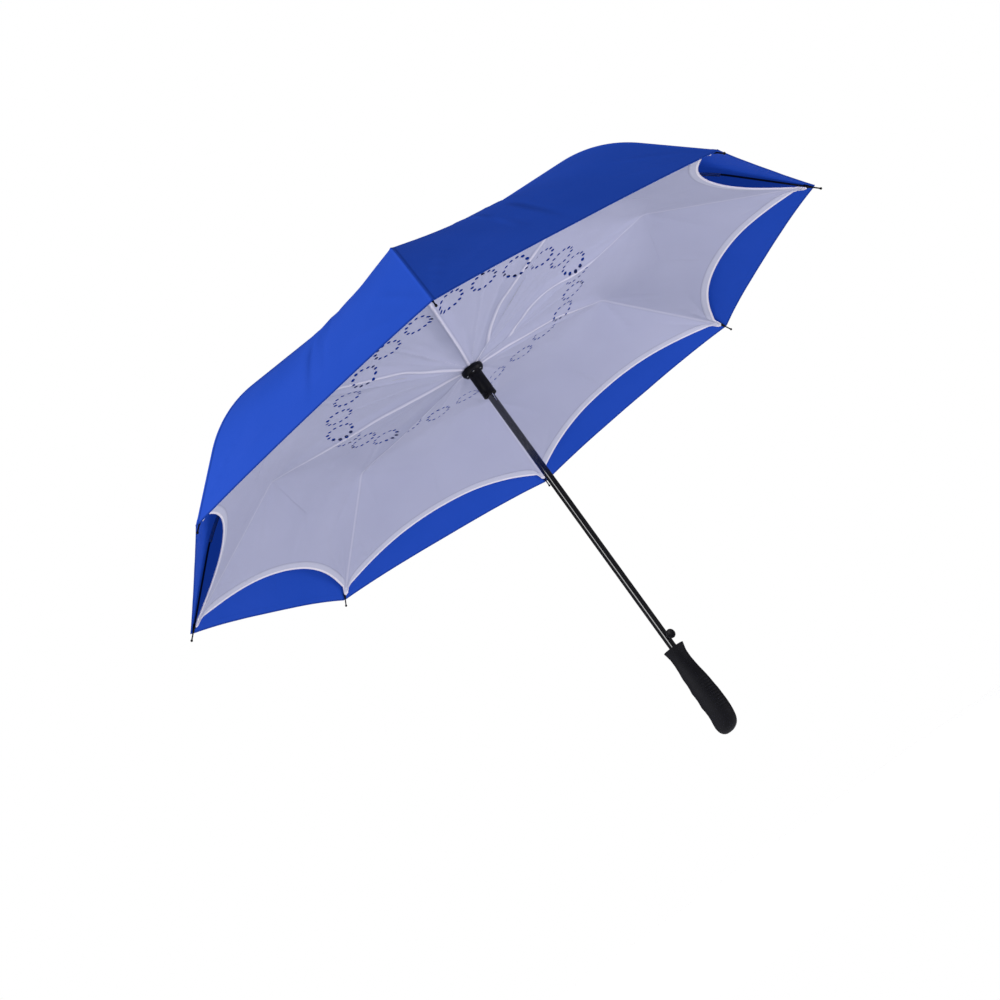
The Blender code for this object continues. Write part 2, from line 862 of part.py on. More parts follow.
def make_ribs():
    """Eight equal linkages with their canopy leaves, each piece standing at its pivot."""
    elbow = elbow_pivot()
    kinds = (
        ("upper_strut", strut("upper_strut", top_pivot, elbow, -strut_offset), "strut_steel", top_pivot),
        (
            "lower_strut",
            strut("lower_strut", runner_pivot, joint_pivot, strut_offset, joint_head_height),
            "strut_steel",
            runner_pivot,
        ),
        ("outer_rib", outer_rib(), "rib_black", elbow),
        ("crown_leaf", crown_leaf(), "blue_cloth", top_pivot),
        ("rim_leaf", rim_leaf(), "blue_cloth", elbow),
        ("inner_leaf", inner_leaf(), "white_cloth", runner_pivot),
    )
    for k in range(rib_count):
        angle = first_rib_angle + 2 * half_gore * k
        for name, mesh, finish, (radius, rise) in kinds:
            spot = (radius * math.cos(angle), radius * math.sin(angle), world_height(rise))
            place(f"{name}_{k + 1}", mesh, finish, spot, angle)


def main():
    clear_scene()
    make_shaft()
    make_top_notch()
    make_crown()
    make_runner()
    make_latch()
    make_button()
    make_spring()
    make_grip()
    make_ribs()


main()
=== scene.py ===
"""Looks of the inverted umbrella: two cloth canopies, ribs, runner, button, grip and studio.

All sizes are metres. The umbrella stands open with its shaft along +Z, and the origin is
on the shaft's axis at the middle of the grip. A rise is a height above the rib tips.
Cloth is laid out in the plan of one rib, X outward and Y along the rim, and then turned
to its place. Ribs are counted from the one that points along -Y.
"""

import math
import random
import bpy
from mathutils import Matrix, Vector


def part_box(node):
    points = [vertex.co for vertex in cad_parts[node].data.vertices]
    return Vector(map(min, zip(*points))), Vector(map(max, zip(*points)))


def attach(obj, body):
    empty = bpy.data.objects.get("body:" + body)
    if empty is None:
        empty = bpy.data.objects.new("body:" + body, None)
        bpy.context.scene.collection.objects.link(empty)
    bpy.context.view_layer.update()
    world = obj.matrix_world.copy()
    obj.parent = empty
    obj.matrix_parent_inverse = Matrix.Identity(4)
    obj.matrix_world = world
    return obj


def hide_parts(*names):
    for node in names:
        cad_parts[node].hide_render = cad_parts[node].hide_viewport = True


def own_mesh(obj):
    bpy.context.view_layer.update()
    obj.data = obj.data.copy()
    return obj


bl_info = {
    "name": "Inverted Umbrella",
    "version": (1, 0, 0),
    "blender": (4, 5, 0),
    "location": "View3D > Sidebar > Umbrella",
    "description": "Builds the canopies, ribs, runner, button, grip and studio of an inverted umbrella",
    "category": "Object",
}

import bpy
import numpy as np
from bpy.props import FloatProperty, FloatVectorProperty, IntProperty, PointerProperty
from mathutils import Matrix, Vector
from mathutils.geometry import delaunay_2d_cdt

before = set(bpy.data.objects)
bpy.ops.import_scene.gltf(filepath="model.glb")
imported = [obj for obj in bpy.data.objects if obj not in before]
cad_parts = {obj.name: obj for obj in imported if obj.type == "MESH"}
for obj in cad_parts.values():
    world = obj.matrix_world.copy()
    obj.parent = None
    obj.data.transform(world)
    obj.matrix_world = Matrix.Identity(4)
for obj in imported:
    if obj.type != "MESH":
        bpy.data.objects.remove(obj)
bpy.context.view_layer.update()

RIB_COUNT = 8
HALF_GORE = math.pi / RIB_COUNT
GORE_DEGREES = 360 / RIB_COUNT
FIRST_RIB_DEGREES = -90
FIRST_RIB_ANGLE = math.radians(FIRST_RIB_DEGREES)
RIM_HEIGHT = 0.466

# Mean slopes of the rim leaves, for the flat size of their cloth
BLUE_RIM_SLOPE = math.radians(36)
WHITE_RIM_SLOPE = math.radians(29)

# Distance over which a surface's slope is taken
SURFACE_STEP = 0.0005


def rib_angle(rib):
    """Direction of a rib in plan, counted from 0."""
    return FIRST_RIB_ANGLE + 2 * HALF_GORE * rib


def length(name, note, default):
    return FloatProperty(name=name, description=note, default=default, unit="LENGTH", precision=5)


def turn(name, note, degrees):
    return FloatProperty(name=name, description=note, default=math.radians(degrees), unit="ROTATION")


def colour(name, note, value):
    return FloatVectorProperty(
        name=name, description=note, default=value, size=3, subtype="COLOR", min=0, max=1
    )


def share_of(name, note, default):
    return FloatProperty(name=name, description=note, default=default, subtype="FACTOR", min=0, max=1)


# Sizes and colours


class OuterCanopySizes(bpy.types.PropertyGroup):
    """Blue canopy: a straight cone at the crown that bows over to the rim."""

    apex_rise: length("Apex rise", "Height of the cloth's apex above the rib tips", 0.260)
    rim_radius: length("Rim radius", "Distance of the blue corners from the shaft's axis", 0.530)
    rim_rise: length("Rim rise", "Height of the blue corners above the rib tips", 0.002)
    crown_angle: turn("Crown angle", "Downward slope of the crown along a rib", 17.3)
    rim_angle: turn("Rim angle", "Downward slope of the rim along a rib", 46.4)
    crest_radius: length("Crest radius", "Radius of the bow between crown and rim", 0.260)
    gore_sag: length("Gore sag", "How far a gore hangs in between two ribs", 0.010)
    sag_full_radius: length("Full sag radius", "Where the sag of a gore is full", 0.300)
    elbow_radius: length("Elbow radius", "Distance of the elbow hinges from the axis", 0.300)
    opening_radius: length("Opening radius", "Hole in the cloth for the shaft", 0.007)
    hem_width: length("Hem width", "Width of the turned rim hem", 0.0065)
    hem_cut_in: length("Hem cut in", "How far up the cloth the hem is cut in at mid-gore", 0.0060)
    taut_radius: length("Taut radius", "Where the cloth begins to draw tight towards the hem", 0.380)


class InnerCanopySizes(bpy.types.PropertyGroup):
    """White canopy: clamped at the runner, lifted at the rib joints, hemmed in arcs."""

    opening_radius: length("Opening radius", "Hole in the cloth for the runner", 0.0120)
    hub_rise: length("Hub rise", "Height of the cloth at the runner", 0.0785)
    joint_radius: length("Joint radius", "Distance of the rib joints from the axis", 0.3180)
    joint_rise: length("Joint rise", "Height of the cloth under the rib joints", 0.1148)
    gore_sag: length("Gore sag", "How far a gore hangs over the joints", 0.003)
    gore_lift: length("Gore lift", "How far the cloth rises between two struts", 0.0070)
    fold_tab: length("Fold tab", "How far a rim leaf runs on behind the hub leaf in mid-gore", 0.0120)
    tab_gap: length("Tab gap", "Distance of that tab from the hub leaf's lower face", 0.0007)
    soft_middle: length("Soft fold", "Half width of the fold over the joints in mid-gore", 0.055)
    soft_rib: length("Sharp fold", "Half width of that fold at a rib", 0.007)
    pocket_radius: length("Pocket radius", "Distance of the tip pockets from the axis", 0.5170)
    pocket_rise: length("Pocket rise", "Height of the tip pockets", 0.0100)
    pocket_round: length("Pocket round", "Radius that rounds the root of a pocket", 0.0085)
    tongue_length: length("Tongue length", "How far a pocket's tongue runs on towards the tip", 0.0085)
    tongue_width: length("Tongue width", "Half width of that tongue", 0.0054)
    hem_radius: length("Hem radius", "Distance of the hem from the axis in mid-gore", 0.4240)
    hem_rise: length("Hem rise", "Height of the hem in mid-gore", 0.0380)
    hem_power: FloatProperty(name="Hem power", description="How the hem curves to its pockets", default=2.15)
    hem_width: length("Hem width", "Width of the bound hem", 0.0098)
    piping_width: length("Piping width", "Width of the cord in the hem's edge", 0.0026)
    tent_height: length("Ridge height", "How far a ridge is pushed out along a rib", 0.0044)
    tent_width: length("Ridge width", "Half width of such a ridge", 0.0200)
    tent_round: length("Ridge round", "Radius of the ridge's crest", 0.0014)
    vent_radius: length("Vent radius", "Distance of the vents' centres from the axis", 0.2000)
    vent_ring_radius: length("Vent ring radius", "Radius of the ring of holes of one vent", 0.0183)
    vent_hole_radius: length("Vent hole radius", "Radius of one hole", 0.0029)


class ClothSizes(bpy.types.PropertyGroup):
    """What both canopies share."""

    thickness: length("Thickness", "Thickness of the cloth", 0.0004)
    seam_width: length("Seam width", "Half width of the seam over a rib", 0.0019)
    seam_height: length("Seam height", "How far a seam stands out", 0.0007)
    crease_height: length("Crease height", "Height of the soft creases", 0.0011)
    shine_through: share_of("Shine through", "Daylight that the blue cloth lets through", 0.60)
    blue: colour("Blue", "Cloth of the outer canopy", (0.0070, 0.0385, 0.280))
    # The white cloth's colour carries a painted lilac tint that stands for the blue light coming through the
    # outer canopy.
    white: colour("White", "Cloth of the inner canopy", (0.345, 0.360, 0.520))
    # Colour of the hem's piping, and also of the painted highlight along the inner canopy's rib seam ridges.
    hem_and_ridge_highlight: colour("Hem white", "Bound hem and seams of the inner canopy", (0.690, 0.665, 0.760))


class RibSizes(bpy.types.PropertyGroup):
    """Outer ribs: a steel channel, then a fibreglass rod with a plastic tip."""

    width: length("Channel width", "Width of the steel channel", 0.0030)
    height: length("Channel height", "Height of the steel channel", 0.0040)
    wall: length("Channel wall", "Thickness of the channel's sheet", 0.0005)
    channel_end: length("Channel end", "Distance of the channel's outer end from the axis", 0.437)
    channel_drop: length("Channel drop", "Depth of the channel's middle below the cloth", 0.0035)
    rod_radius: length("Rod radius", "Radius of the fibreglass rod", 0.0014)
    rod_drop: length("Rod drop", "Depth of the rod's middle below the cloth", 0.0030)
    elbow_drop: length("Elbow drop", "Depth of the elbow pivot below the cloth", 0.0050)
    joint_rise: length("Joint rise", "Height of the rib joint's pin", 0.1185)
    tip_reach: length("Tip reach", "How far the ball end stands out past the corner", 0.0070)
    ball_radius: length("Ball radius", "Radius of the ball end", 0.0018)
    pin_radius: length("Pin radius", "Radius of the tip's pin", 0.0010)
    steel: colour("Rib steel", "Zinc plated steel", (0.500, 0.510, 0.520))
    black: colour("Rib black", "Fibreglass and plastic", (0.006, 0.006, 0.008))


class HandleSizes(bpy.types.PropertyGroup):
    """Shaft, runner, button, grip and cap."""

    shaft_radius: length("Shaft radius", "Outside radius of the shaft", 0.0055)
    angle: turn("Handle angle", "Side of the shaft that the button points to", -60)
    pivot_rise: length("Runner pivot rise", "Height of the runner's wire ring", 0.0825)
    neck_radius: length("Neck radius", "Outside radius of the runner's neck", 0.0100)
    neck_length: length("Neck length", "From the wire ring to the foot of the neck", 0.0532)
    flange_radius: length("Flange radius", "Outside radius of the runner's flange", 0.0165)
    flange_height: length("Flange height", "Thickness of the runner's flange", 0.0092)
    flange_top: length("Flange top", "Depth of the flange's top below the wire ring", 0.0048)
    button_above_grip: length("Button height", "Height of the button above the grip", 0.0155)
    button_radius: length("Button radius", "Radius of the button's face", 0.0067)
    button_reach: length("Button reach", "Distance of the button's face from the axis", 0.0172)
    grip_top: length("Grip top", "Rise of the grip's top edge", -0.3995)
    grip_length: length("Grip length", "Length of the grip", 0.133)
    grip_half_width: length("Grip half width", "Scale of the grip's cross section", 0.0165)
    cap_radius: length("Cap radius", "Outside radius of the crown cap", 0.0170)
    cap_height: length("Cap height", "Height of the cap above the apex", 0.0130)
    black: colour("Handle black", "Lacquer, plastic and rubber", (0.004, 0.004, 0.006))
    chrome: colour("Spring steel", "Latch, springs and wires", (0.720, 0.720, 0.700))


class StudioSizes(bpy.types.PropertyGroup):
    """Floor, lights and camera."""

    floor_drop: length("Floor drop", "Depth of the floor below the origin", 0.240)
    floor_radius: length("Floor radius", "Radius of the floor", 3.4)
    lens: FloatProperty(name="Lens", description="Focal length in millimetres", default=61.572)
    world_light: FloatProperty(name="World light", description="Light of the dim surroundings", default=0.42)
    glossy_dimming: share_of("Glossy dimming", "How much darker the surroundings are in reflections", 0.85)
    floor_glow: FloatProperty(name="Floor glow", description="Light of the lit floor itself", default=0.34)
    key_power: FloatProperty(name="Key power", description="Watts of the key light", default=88)
    strip_power: FloatProperty(name="Strip power", description="Watts of the strip light", default=14)
    fill_power: FloatProperty(name="Fill power", description="Watts of the warm fill light", default=10)
    floor_sides: IntProperty(name="Floor sides", description="Sides of the floor disc", default=96)
    camera_place: FloatVectorProperty(
        name="Camera place", description="Where the camera stands", size=3, unit="LENGTH",
        default=(-0.0386, -2.2776, -0.1547),
    )
    camera_turn: FloatVectorProperty(
        name="Camera turn", description="How the camera is turned about X, Y and Z", size=3, unit="ROTATION",
        default=(math.radians(105.709), math.radians(34.458), math.radians(9.922)),
    )


# Nodes


class Socket:
    """An output socket or a number that adds Math nodes when it is calculated with."""

    def __init__(self, tree, value):
        self.tree, self.value = tree, value

    def node(self, kind, inputs=(), output=0, **settings):
        """Add a node, with its settings first and then its inputs by name or number."""
        made = self.tree.nodes.new(kind)
        for name, value in settings.items():
            setattr(made, name, value)
        pairs = inputs.items() if isinstance(inputs, dict) else enumerate(inputs)
        for name, value in pairs:
            if isinstance(value, Socket):
                value = value.value
            if isinstance(value, bpy.types.NodeSocket):
                self.tree.links.new(value, made.inputs[name])
            elif value is not None:
                made.inputs[name].default_value = value
        return Socket(self.tree, made.outputs[output])

    def math(self, operation, *others):
        """Add a Math node on the value and any others."""
        return self.node("ShaderNodeMath", (self, *others), operation=operation)

    def __add__(self, other):
        return self.math("ADD", other)

    def __sub__(self, other):
        return self.math("SUBTRACT", other)

    def __mul__(self, other):
        return self.math("MULTIPLY", other)

    def __rsub__(self, other):
        return Socket(self.tree, other).math("SUBTRACT", self)

    def __abs__(self):
        return self.math("ABSOLUTE")

    def below(self, limit, soft):
        """1 where the value is under the limit and 0 over it, with a soft step."""
        return self.node(
            "ShaderNodeMapRange",
            (self, limit - soft, limit + soft, 1.0, 0.0),
            interpolation_type="SMOOTHSTEP",
        )

    def wave(self, period):
        """Sine of the value, which repeats over a period."""
        return (self * (2 * math.pi / period)).math("SINE")


def tint(low, high, factor):
    """Mix two colours, each a tuple or a socket, by a socket that runs from 0 to 1."""
    low, high = (tone if isinstance(tone, Socket) else (*tone, 1.0) for tone in (low, high))
    return factor.node("ShaderNodeMix", {0: factor, 6: low, 7: high}, output=2, data_type="RGBA")


class Finish:
    """One material in the making: its tree, its shader and its coordinates."""

    def __init__(self, name, **constants):
        self.material = bpy.data.materials.new(name)
        self.material.use_nodes = True
        self.tree = self.material.node_tree
        self.shader = self.tree.nodes["Principled BSDF"]
        for socket, value in constants.items():
            self.shader.inputs[socket.replace("_", " ")].default_value = value
        self.start = Socket(self.tree, 0.0)
        self.place = self.start.node("ShaderNodeTexCoord", output="Object")

    def glow(self, tone, strength):
        """Stand-in for the light that thin cloth lets through."""
        self.tree.links.new(tone.value, self.shader.inputs["Emission Color"])
        self.shader.inputs["Emission Strength"].default_value = strength

    def mark(self, name):
        """A number that the mesh carries at each point."""
        return self.start.node("ShaderNodeAttribute", output="Fac", attribute_name=name)

    def stretched(self, scale):
        return self.start.node("ShaderNodeMapping", {"Vector": self.place, "Scale": scale})

    def from_shaft(self):
        """Distance from the shaft's axis."""
        flat = self.stretched((1.0, 1.0, 0.0))
        return flat.node("ShaderNodeVectorMath", (flat,), output="Value", operation="LENGTH")

    def noise(self, scale, detail, vector=None, roughness=0.5):
        inputs = {"Vector": vector or self.place, "Scale": scale, "Detail": detail, "Roughness": roughness}
        return self.start.node("ShaderNodeTexNoise", inputs, output=0)

    def cells(self, scale):
        inputs = {"Vector": self.place, "Scale": scale}
        return self.start.node("ShaderNodeTexVoronoi", inputs, output="Distance")

    def paint(self, base, roughness, relief=None, depth=0.0, strength=0.0):
        """Link the colour, the roughness and, where given, the relief."""
        for name, value in (("Base Color", base), ("Roughness", roughness)):
            self.tree.links.new(value.value, self.shader.inputs[name])
        if relief is not None:
            bump = relief.node("ShaderNodeBump", {"Strength": strength, "Distance": depth, "Height": relief})
            self.tree.links.new(bump.value, self.shader.inputs["Normal"])
        return self.material


def darker(tone, share):
    return tuple(part * share for part in tone)


def lighter(tone, share):
    return tuple(part + (1 - part) * share for part in tone)


def weave(finish, thread):
    """Height of a plain weave whose threads follow the cloth's own map."""
    spot = finish.start.node("ShaderNodeUVMap", uv_map="Cloth")
    u, v = (spot.node("ShaderNodeSeparateXYZ", (spot,), output=side).wave(2 * thread) for side in "XY")
    return u * v


def blue_cloth(cloth, outer):
    """Dense royal blue pongee with a soft sheen, a stitched rim hem and rib seams, a painted shade line
    beside each seam and a painted glow for the light let through.
    """
    made = Finish("royal_blue_cloth", Specular_IOR_Level=0.03)
    # Painted glow: emission stands in for daylight let through the cloth, a little dimmer on the upper side
    # than on the underside.
    upward = made.start.node("ShaderNodeTexCoord", output="Normal")
    under_side = upward.node("ShaderNodeSeparateXYZ", (upward,), output="Z").below(0.0, 0.2)
    made.glow(tint(darker(cloth.blue, 0.84), cloth.blue, under_side), cloth.shine_through)
    hem, seam = made.mark("from_hem"), made.mark("from_seam")
    patches = made.noise(9.0, 4.0)
    threads = made.noise(260.0, 2.0)
    body = tint(darker(cloth.blue, 0.88), lighter(cloth.blue, 0.006), patches)
    fold_line = abs(hem - outer.hem_width).below(0.0004, 0.0004) * 0.10
    edge = hem.below(0.0016, 0.0008)
    # Painted shade: a dark line along one side of each rib seam, standing for the rib's shadow and its seam
    # allowance seen against the light.
    seam_shade_line = abs(seam - cloth.seam_width * 1.6).below(0.0010, 0.0006)
    base = tint(body, darker(cloth.blue, 0.40), (fold_line + edge).math("MINIMUM", 1.0) * 0.8)
    base = tint(base, darker(cloth.blue, 0.40), seam_shade_line * 0.8)
    rough = threads * 0.10 + 0.56
    relief = weave(made, 0.00045) * 0.12 + made.noise(34.0, 3.0) * 1.1 + threads * 0.10
    return made.paint(base, rough, relief, depth=0.0007, strength=0.35)


def white_cloth(cloth, inner):
    """Thin white lining with bright bound hems, piping and rolled rib seams, whose ridges carry a painted
    highlight with painted shade lines beside them.
    """
    made = Finish("white_lining_cloth", Sheen_Weight=0.05, Sheen_Roughness=0.5, Specular_IOR_Level=0.2)
    hem, seam, run = made.mark("from_hem"), abs(made.mark("from_seam")), made.mark("along_hem")
    patches = made.noise(7.0, 4.0)
    threads = made.noise(280.0, 2.0)
    body = tint(darker(cloth.white, 0.93), lighter(cloth.white, 0.05), patches)
    band = hem.below(inner.hem_width, 0.0003)
    piping = hem.below(inner.piping_width, 0.0003)
    stitches = run.wave(0.0032).math("GREATER_THAN", -0.25)
    stitch_line = abs(hem - inner.hem_width * 0.93).below(0.00045, 0.0003) * stitches
    rolled = abs(hem - inner.hem_width - 0.0006).below(0.0006, 0.0004)
    # Painted shade: a dark line on each side of a rib seam's ridge, stronger over the struts.
    beside = abs(seam - cloth.seam_width * 1.75).below(0.0007, 0.0006)
    base = tint(body, lighter(cloth.white, 0.16), band)
    base = tint(base, cloth.hem_and_ridge_highlight, piping)
    base = tint(base, darker(cloth.white, 0.66), stitch_line * 0.4 + rolled * 0.45)
    over_strut = made.from_shaft().below(inner.joint_radius * 0.85, 0.05) * 0.32 + 0.20
    base = tint(base, darker(cloth.white, 0.70), beside * over_strut * 0.6)
    # Painted highlight: the rib seams' ridges are drawn lighter, more strongly over the struts.
    base = tint(base, cloth.hem_and_ridge_highlight, seam.below(cloth.seam_width * 0.9, 0.0012) * over_strut)
    rough = threads * 0.10 + 0.62
    relief = weave(made, 0.00045) * 0.12 + made.noise(30.0, 3.0) * 0.9 + threads * 0.10 - stitch_line * 1.2
    return made.paint(base, rough, relief, depth=0.0006, strength=0.35)


def plated_steel(ribs):
    """Zinc plated strip with fine rolling lines and small dull patches."""
    made = Finish("plated_strip_steel", Metallic=0.75)
    lines = made.noise(900.0, 2.0, made.stretched((0.08, 0.08, 1.0)))
    dull = made.noise(60.0, 4.0)
    base = tint(darker(ribs.steel, 0.72), lighter(ribs.steel, 0.12), dull)
    return made.paint(base, dull * 0.22 + 0.32, lines, depth=0.00005, strength=0.4)


def fibreglass(ribs):
    """Black pulled rod with faint lengthwise fibres."""
    made = Finish("black_fibreglass_rod", Coat_Weight=0.15, Coat_Roughness=0.3)
    fibres = made.noise(1500.0, 3.0)
    base = tint(ribs.black, lighter(ribs.black, 0.015), fibres)
    return made.paint(base, fibres * 0.2 + 0.30, fibres, depth=0.00004, strength=0.3)


def moulded_plastic(handle):
    """Black moulded plastic with a very fine spark texture."""
    made = Finish("moulded_black_plastic", Specular_IOR_Level=0.09)
    grain = made.noise(1900.0, 2.0)
    scuffs = made.noise(120.0, 5.0, roughness=0.65)
    base = tint(handle.black, lighter(handle.black, 0.004), scuffs)
    return made.paint(base, scuffs * 0.16 + 0.30, grain, depth=0.00005, strength=0.35)


def gloss_lacquer(handle):
    """Black lacquered tube with faint drawing lines along it."""
    made = Finish(
        "black_lacquered_tube", Coat_Weight=1.0, Coat_IOR=1.8, Coat_Roughness=0.07, Specular_IOR_Level=0.05
    )
    lines = made.noise(700.0, 2.0, made.stretched((1.0, 1.0, 0.03)))
    wear = made.noise(45.0, 5.0, roughness=0.6)
    base = tint(darker(handle.black, 0.8), lighter(handle.black, 0.004), wear)
    return made.paint(base, wear * 0.05 + 0.20, lines, depth=0.00001, strength=0.02)


def soft_rubber(handle):
    """Matt black rubber with a fine stippled skin."""
    made = Finish("matt_black_rubber", Specular_IOR_Level=0.07)
    skin = made.cells(1500.0)
    worn = made.noise(55.0, 5.0, roughness=0.6)
    base = tint(darker(handle.black, 0.9), lighter(handle.black, 0.004), worn)
    return made.paint(base, worn * 0.14 + 0.58, skin, depth=0.0001, strength=0.4)


def spring_steel(handle):
    """Bright spring wire and catch."""
    made = Finish("bright_spring_steel", Metallic=1.0)
    lines = made.noise(1100.0, 2.0)
    base = tint(darker(handle.chrome, 0.8), lighter(handle.chrome, 0.25), lines)
    return made.paint(base, lines * 0.12 + 0.14, lines, depth=0.00003, strength=0.25)


def finish_of(name):
    """The named finish, made the first time that it is asked for."""
    scene = bpy.context.scene
    makers = {
        "royal_blue_cloth": lambda: blue_cloth(scene.cloth_sizes, scene.outer_canopy),
        "white_lining_cloth": lambda: white_cloth(scene.cloth_sizes, scene.inner_canopy),
        "plated_strip_steel": lambda: plated_steel(scene.rib_sizes),
        "black_fibreglass_rod": lambda: fibreglass(scene.rib_sizes),
        "moulded_black_plastic": lambda: moulded_plastic(scene.handle_sizes),
        "black_lacquered_tube": lambda: gloss_lacquer(scene.handle_sizes),
        "matt_black_rubber": lambda: soft_rubber(scene.handle_sizes),
        "bright_spring_steel": lambda: spring_steel(scene.handle_sizes),
    }
    return bpy.data.materials.get(name) or makers[name]()


# Cloth surfaces


def gore_place(x, y):
    """Distance along the nearest gore's middle line, and the share across: 0 there, 1 on a rib."""
    off = (np.arctan2(y, x) - FIRST_RIB_ANGLE) % (2 * HALF_GORE) - HALF_GORE
    return np.hypot(x, y) * np.cos(off), np.abs(np.tan(off)) / math.tan(HALF_GORE)


def rib_distance(x, y):
    """Distance in plan from the line of the nearest rib, and which side it is on."""
    off = (np.arctan2(y, x) - FIRST_RIB_ANGLE + HALF_GORE) % (2 * HALF_GORE) - HALF_GORE
    return np.hypot(x, y) * np.sin(off)


def bow_line(sizes):
    """Start and end of the bow between crown and rim, and the place and rise of its centre."""
    crown, rim = math.tan(sizes.crown_angle), math.tan(sizes.rim_angle)
    corner = (sizes.rim_rise + rim * sizes.rim_radius - sizes.apex_rise) / (rim - crown)
    reach = sizes.crest_radius * math.tan((sizes.rim_angle - sizes.crown_angle) / 2)
    start = corner - reach * math.cos(sizes.crown_angle)
    end = corner + reach * math.cos(sizes.rim_angle)
    middle = start - sizes.crest_radius * math.sin(sizes.crown_angle)
    rise = sizes.apex_rise - crown * start - sizes.crest_radius * math.cos(sizes.crown_angle)
    return start, end, middle, rise


def outer_profile(sizes, radius):
    """Rise and downward slope of the blue cloth over a rib."""
    start, end, middle, rise = bow_line(sizes)
    lean = (radius - middle) / sizes.crest_radius
    slope = np.arcsin(np.clip(lean, math.sin(sizes.crown_angle), math.sin(sizes.rim_angle)))
    bow = rise + sizes.crest_radius * np.cos(slope)
    cone = sizes.apex_rise - math.tan(sizes.crown_angle) * radius
    skirt = sizes.rim_rise + math.tan(sizes.rim_angle) * (sizes.rim_radius - radius)
    return np.where(radius < start, cone, np.where(radius > end, skirt, bow)), slope


def ripples(x, y, seeds, height):
    """Soft irregular swells of a few centimetres that never repeat."""
    total = np.zeros_like(x)
    for turned, period, phase, share in seeds:
        wave = (x * math.cos(turned) + y * math.sin(turned)) * (2 * math.pi / period)
        total += share * np.sin(wave + phase)
    return total * height


def swell_seeds(seed, count, shortest, longest):
    chance = random.Random(seed)
    return [
        (
            chance.uniform(0, math.pi),
            chance.uniform(shortest, longest),
            chance.uniform(0, 2 * math.pi),
            chance.uniform(0.4, 1.0) / math.sqrt(count),
        )
        for _ in range(count)
    ]


OUTER_SWELLS = swell_seeds(3, 7, 0.06, 0.16)
INNER_SWELLS = swell_seeds(8, 8, 0.05, 0.14)


def folds(x, y, lines):
    """Narrow folds, each from one plan point to another, with a width and a height."""
    total = np.zeros_like(x)
    for start, end, width, height in lines:
        run = np.array(end) - np.array(start)
        reach = float(np.hypot(*run))
        along = ((x - start[0]) * run[0] + (y - start[1]) * run[1]) / reach**2
        across = ((x - start[0]) * run[1] - (y - start[1]) * run[0]) / reach
        fade = np.clip(along * 5, 0, 1) * np.clip((1 - along) * 2.5, 0, 1)
        total += height * fade * np.exp(-((across / width) ** 2))
    return total


def polar(radius, degrees):
    """Plan point at a distance from the axis in a direction."""
    return radius * math.cos(math.radians(degrees)), radius * math.sin(math.radians(degrees))


def outer_creases():
    """Marks that storage left in the blue cloth."""
    chance = random.Random(21)
    lines = []
    for k in range(RIB_COUNT):
        middle = FIRST_RIB_DEGREES + GORE_DEGREES * k + GORE_DEGREES / 2
        for _ in range(3):
            side = chance.uniform(-13, 13)
            start = polar(chance.uniform(0.10, 0.36), middle + side)
            end = polar(chance.uniform(0.42, 0.50), middle + side * chance.uniform(0.2, 0.8))
            width = chance.uniform(0.003, 0.006)
            lines.append((start, end, width, chance.choice((-1, 1)) * chance.uniform(0.4, 0.9)))
        lines.append((polar(0.36, middle), polar(0.53, middle + 0.6), 0.0020, -1.0))
        for side in (-1, 1):
            foot = polar(0.525, middle + side * 22.2)
            for reach, swing in ((0.10, 7.5), (0.075, 14)):
                end = polar(0.520 - reach, middle + side * (GORE_DEGREES / 2 - swing))
                lines.append((foot, end, 0.004, 0.7))
    return lines


def inner_folds():
    """Folds that fan from the runner, from each joint and from each tip pocket."""
    chance = random.Random(5)
    lines = []
    for k in range(RIB_COUNT):
        rib = FIRST_RIB_DEGREES + GORE_DEGREES * k
        middle = rib + GORE_DEGREES / 2
        for swing in (-16, -9, 8, 15):
            spread = swing + chance.uniform(-2.5, 2.5)
            start = polar(0.017, rib + spread * 1.2)
            end = polar(chance.uniform(0.11, 0.25), rib + spread * chance.uniform(0.7, 1.1))
            lines.append((start, end, chance.uniform(0.0036, 0.0062), chance.uniform(-1.4, 1.4)))
        lines.append((polar(0.03, middle), polar(0.31, middle), 0.0030, -0.9))
        joint = polar(0.318, rib)
        for side in (-1, 1):
            lines.append((joint, polar(0.20, rib + side * chance.uniform(7, 11)), 0.0045, -1.1))
            lines.append((joint, polar(0.40, rib + side * chance.uniform(7, 10)), 0.0060, 0.9))
            pocket = polar(0.514, rib + side * 0.25)
            lines.append((pocket, polar(0.41, rib + side * 3.6), 0.0034, -0.6))
            lines.append((polar(0.490, rib + side * 1.2), polar(0.42, rib + side * 8.0), 0.0040, 0.6))
        lines.append((polar(0.33, middle), polar(0.42, rib + 22.3), 0.0030, -0.6))
    return lines


OUTER_CREASES = outer_creases()
INNER_FOLDS = inner_folds()

# Where the ridge beside each strut wanders: distances from the axis and to the side
RIDGE_PATHS = (
    ((0.080, 0.0020), (0.230, 0.0012)),
    ((0.040, 0.0050), (0.080, -0.0080), (0.135, -0.0170), (0.205, -0.0100)),
    ((0.065, 0.0040), (0.115, -0.0230), (0.145, -0.0270), (0.185, -0.0060), (0.250, 0.0050)),
    ((0.100, -0.0100), (0.190, -0.0190), (0.230, -0.0130)),
    ((0.100, 0.0040), (0.200, -0.0060)),
    ((0.120, -0.0050), (0.220, -0.0030)),
    ((0.150, 0.0060),),
    ((0.070, 0.0070), (0.130, 0.0160), (0.180, 0.0180), (0.230, 0.0150)),
)
# Distance over which such a path is smoothed, to each side
RIDGE_EASE = 0.010


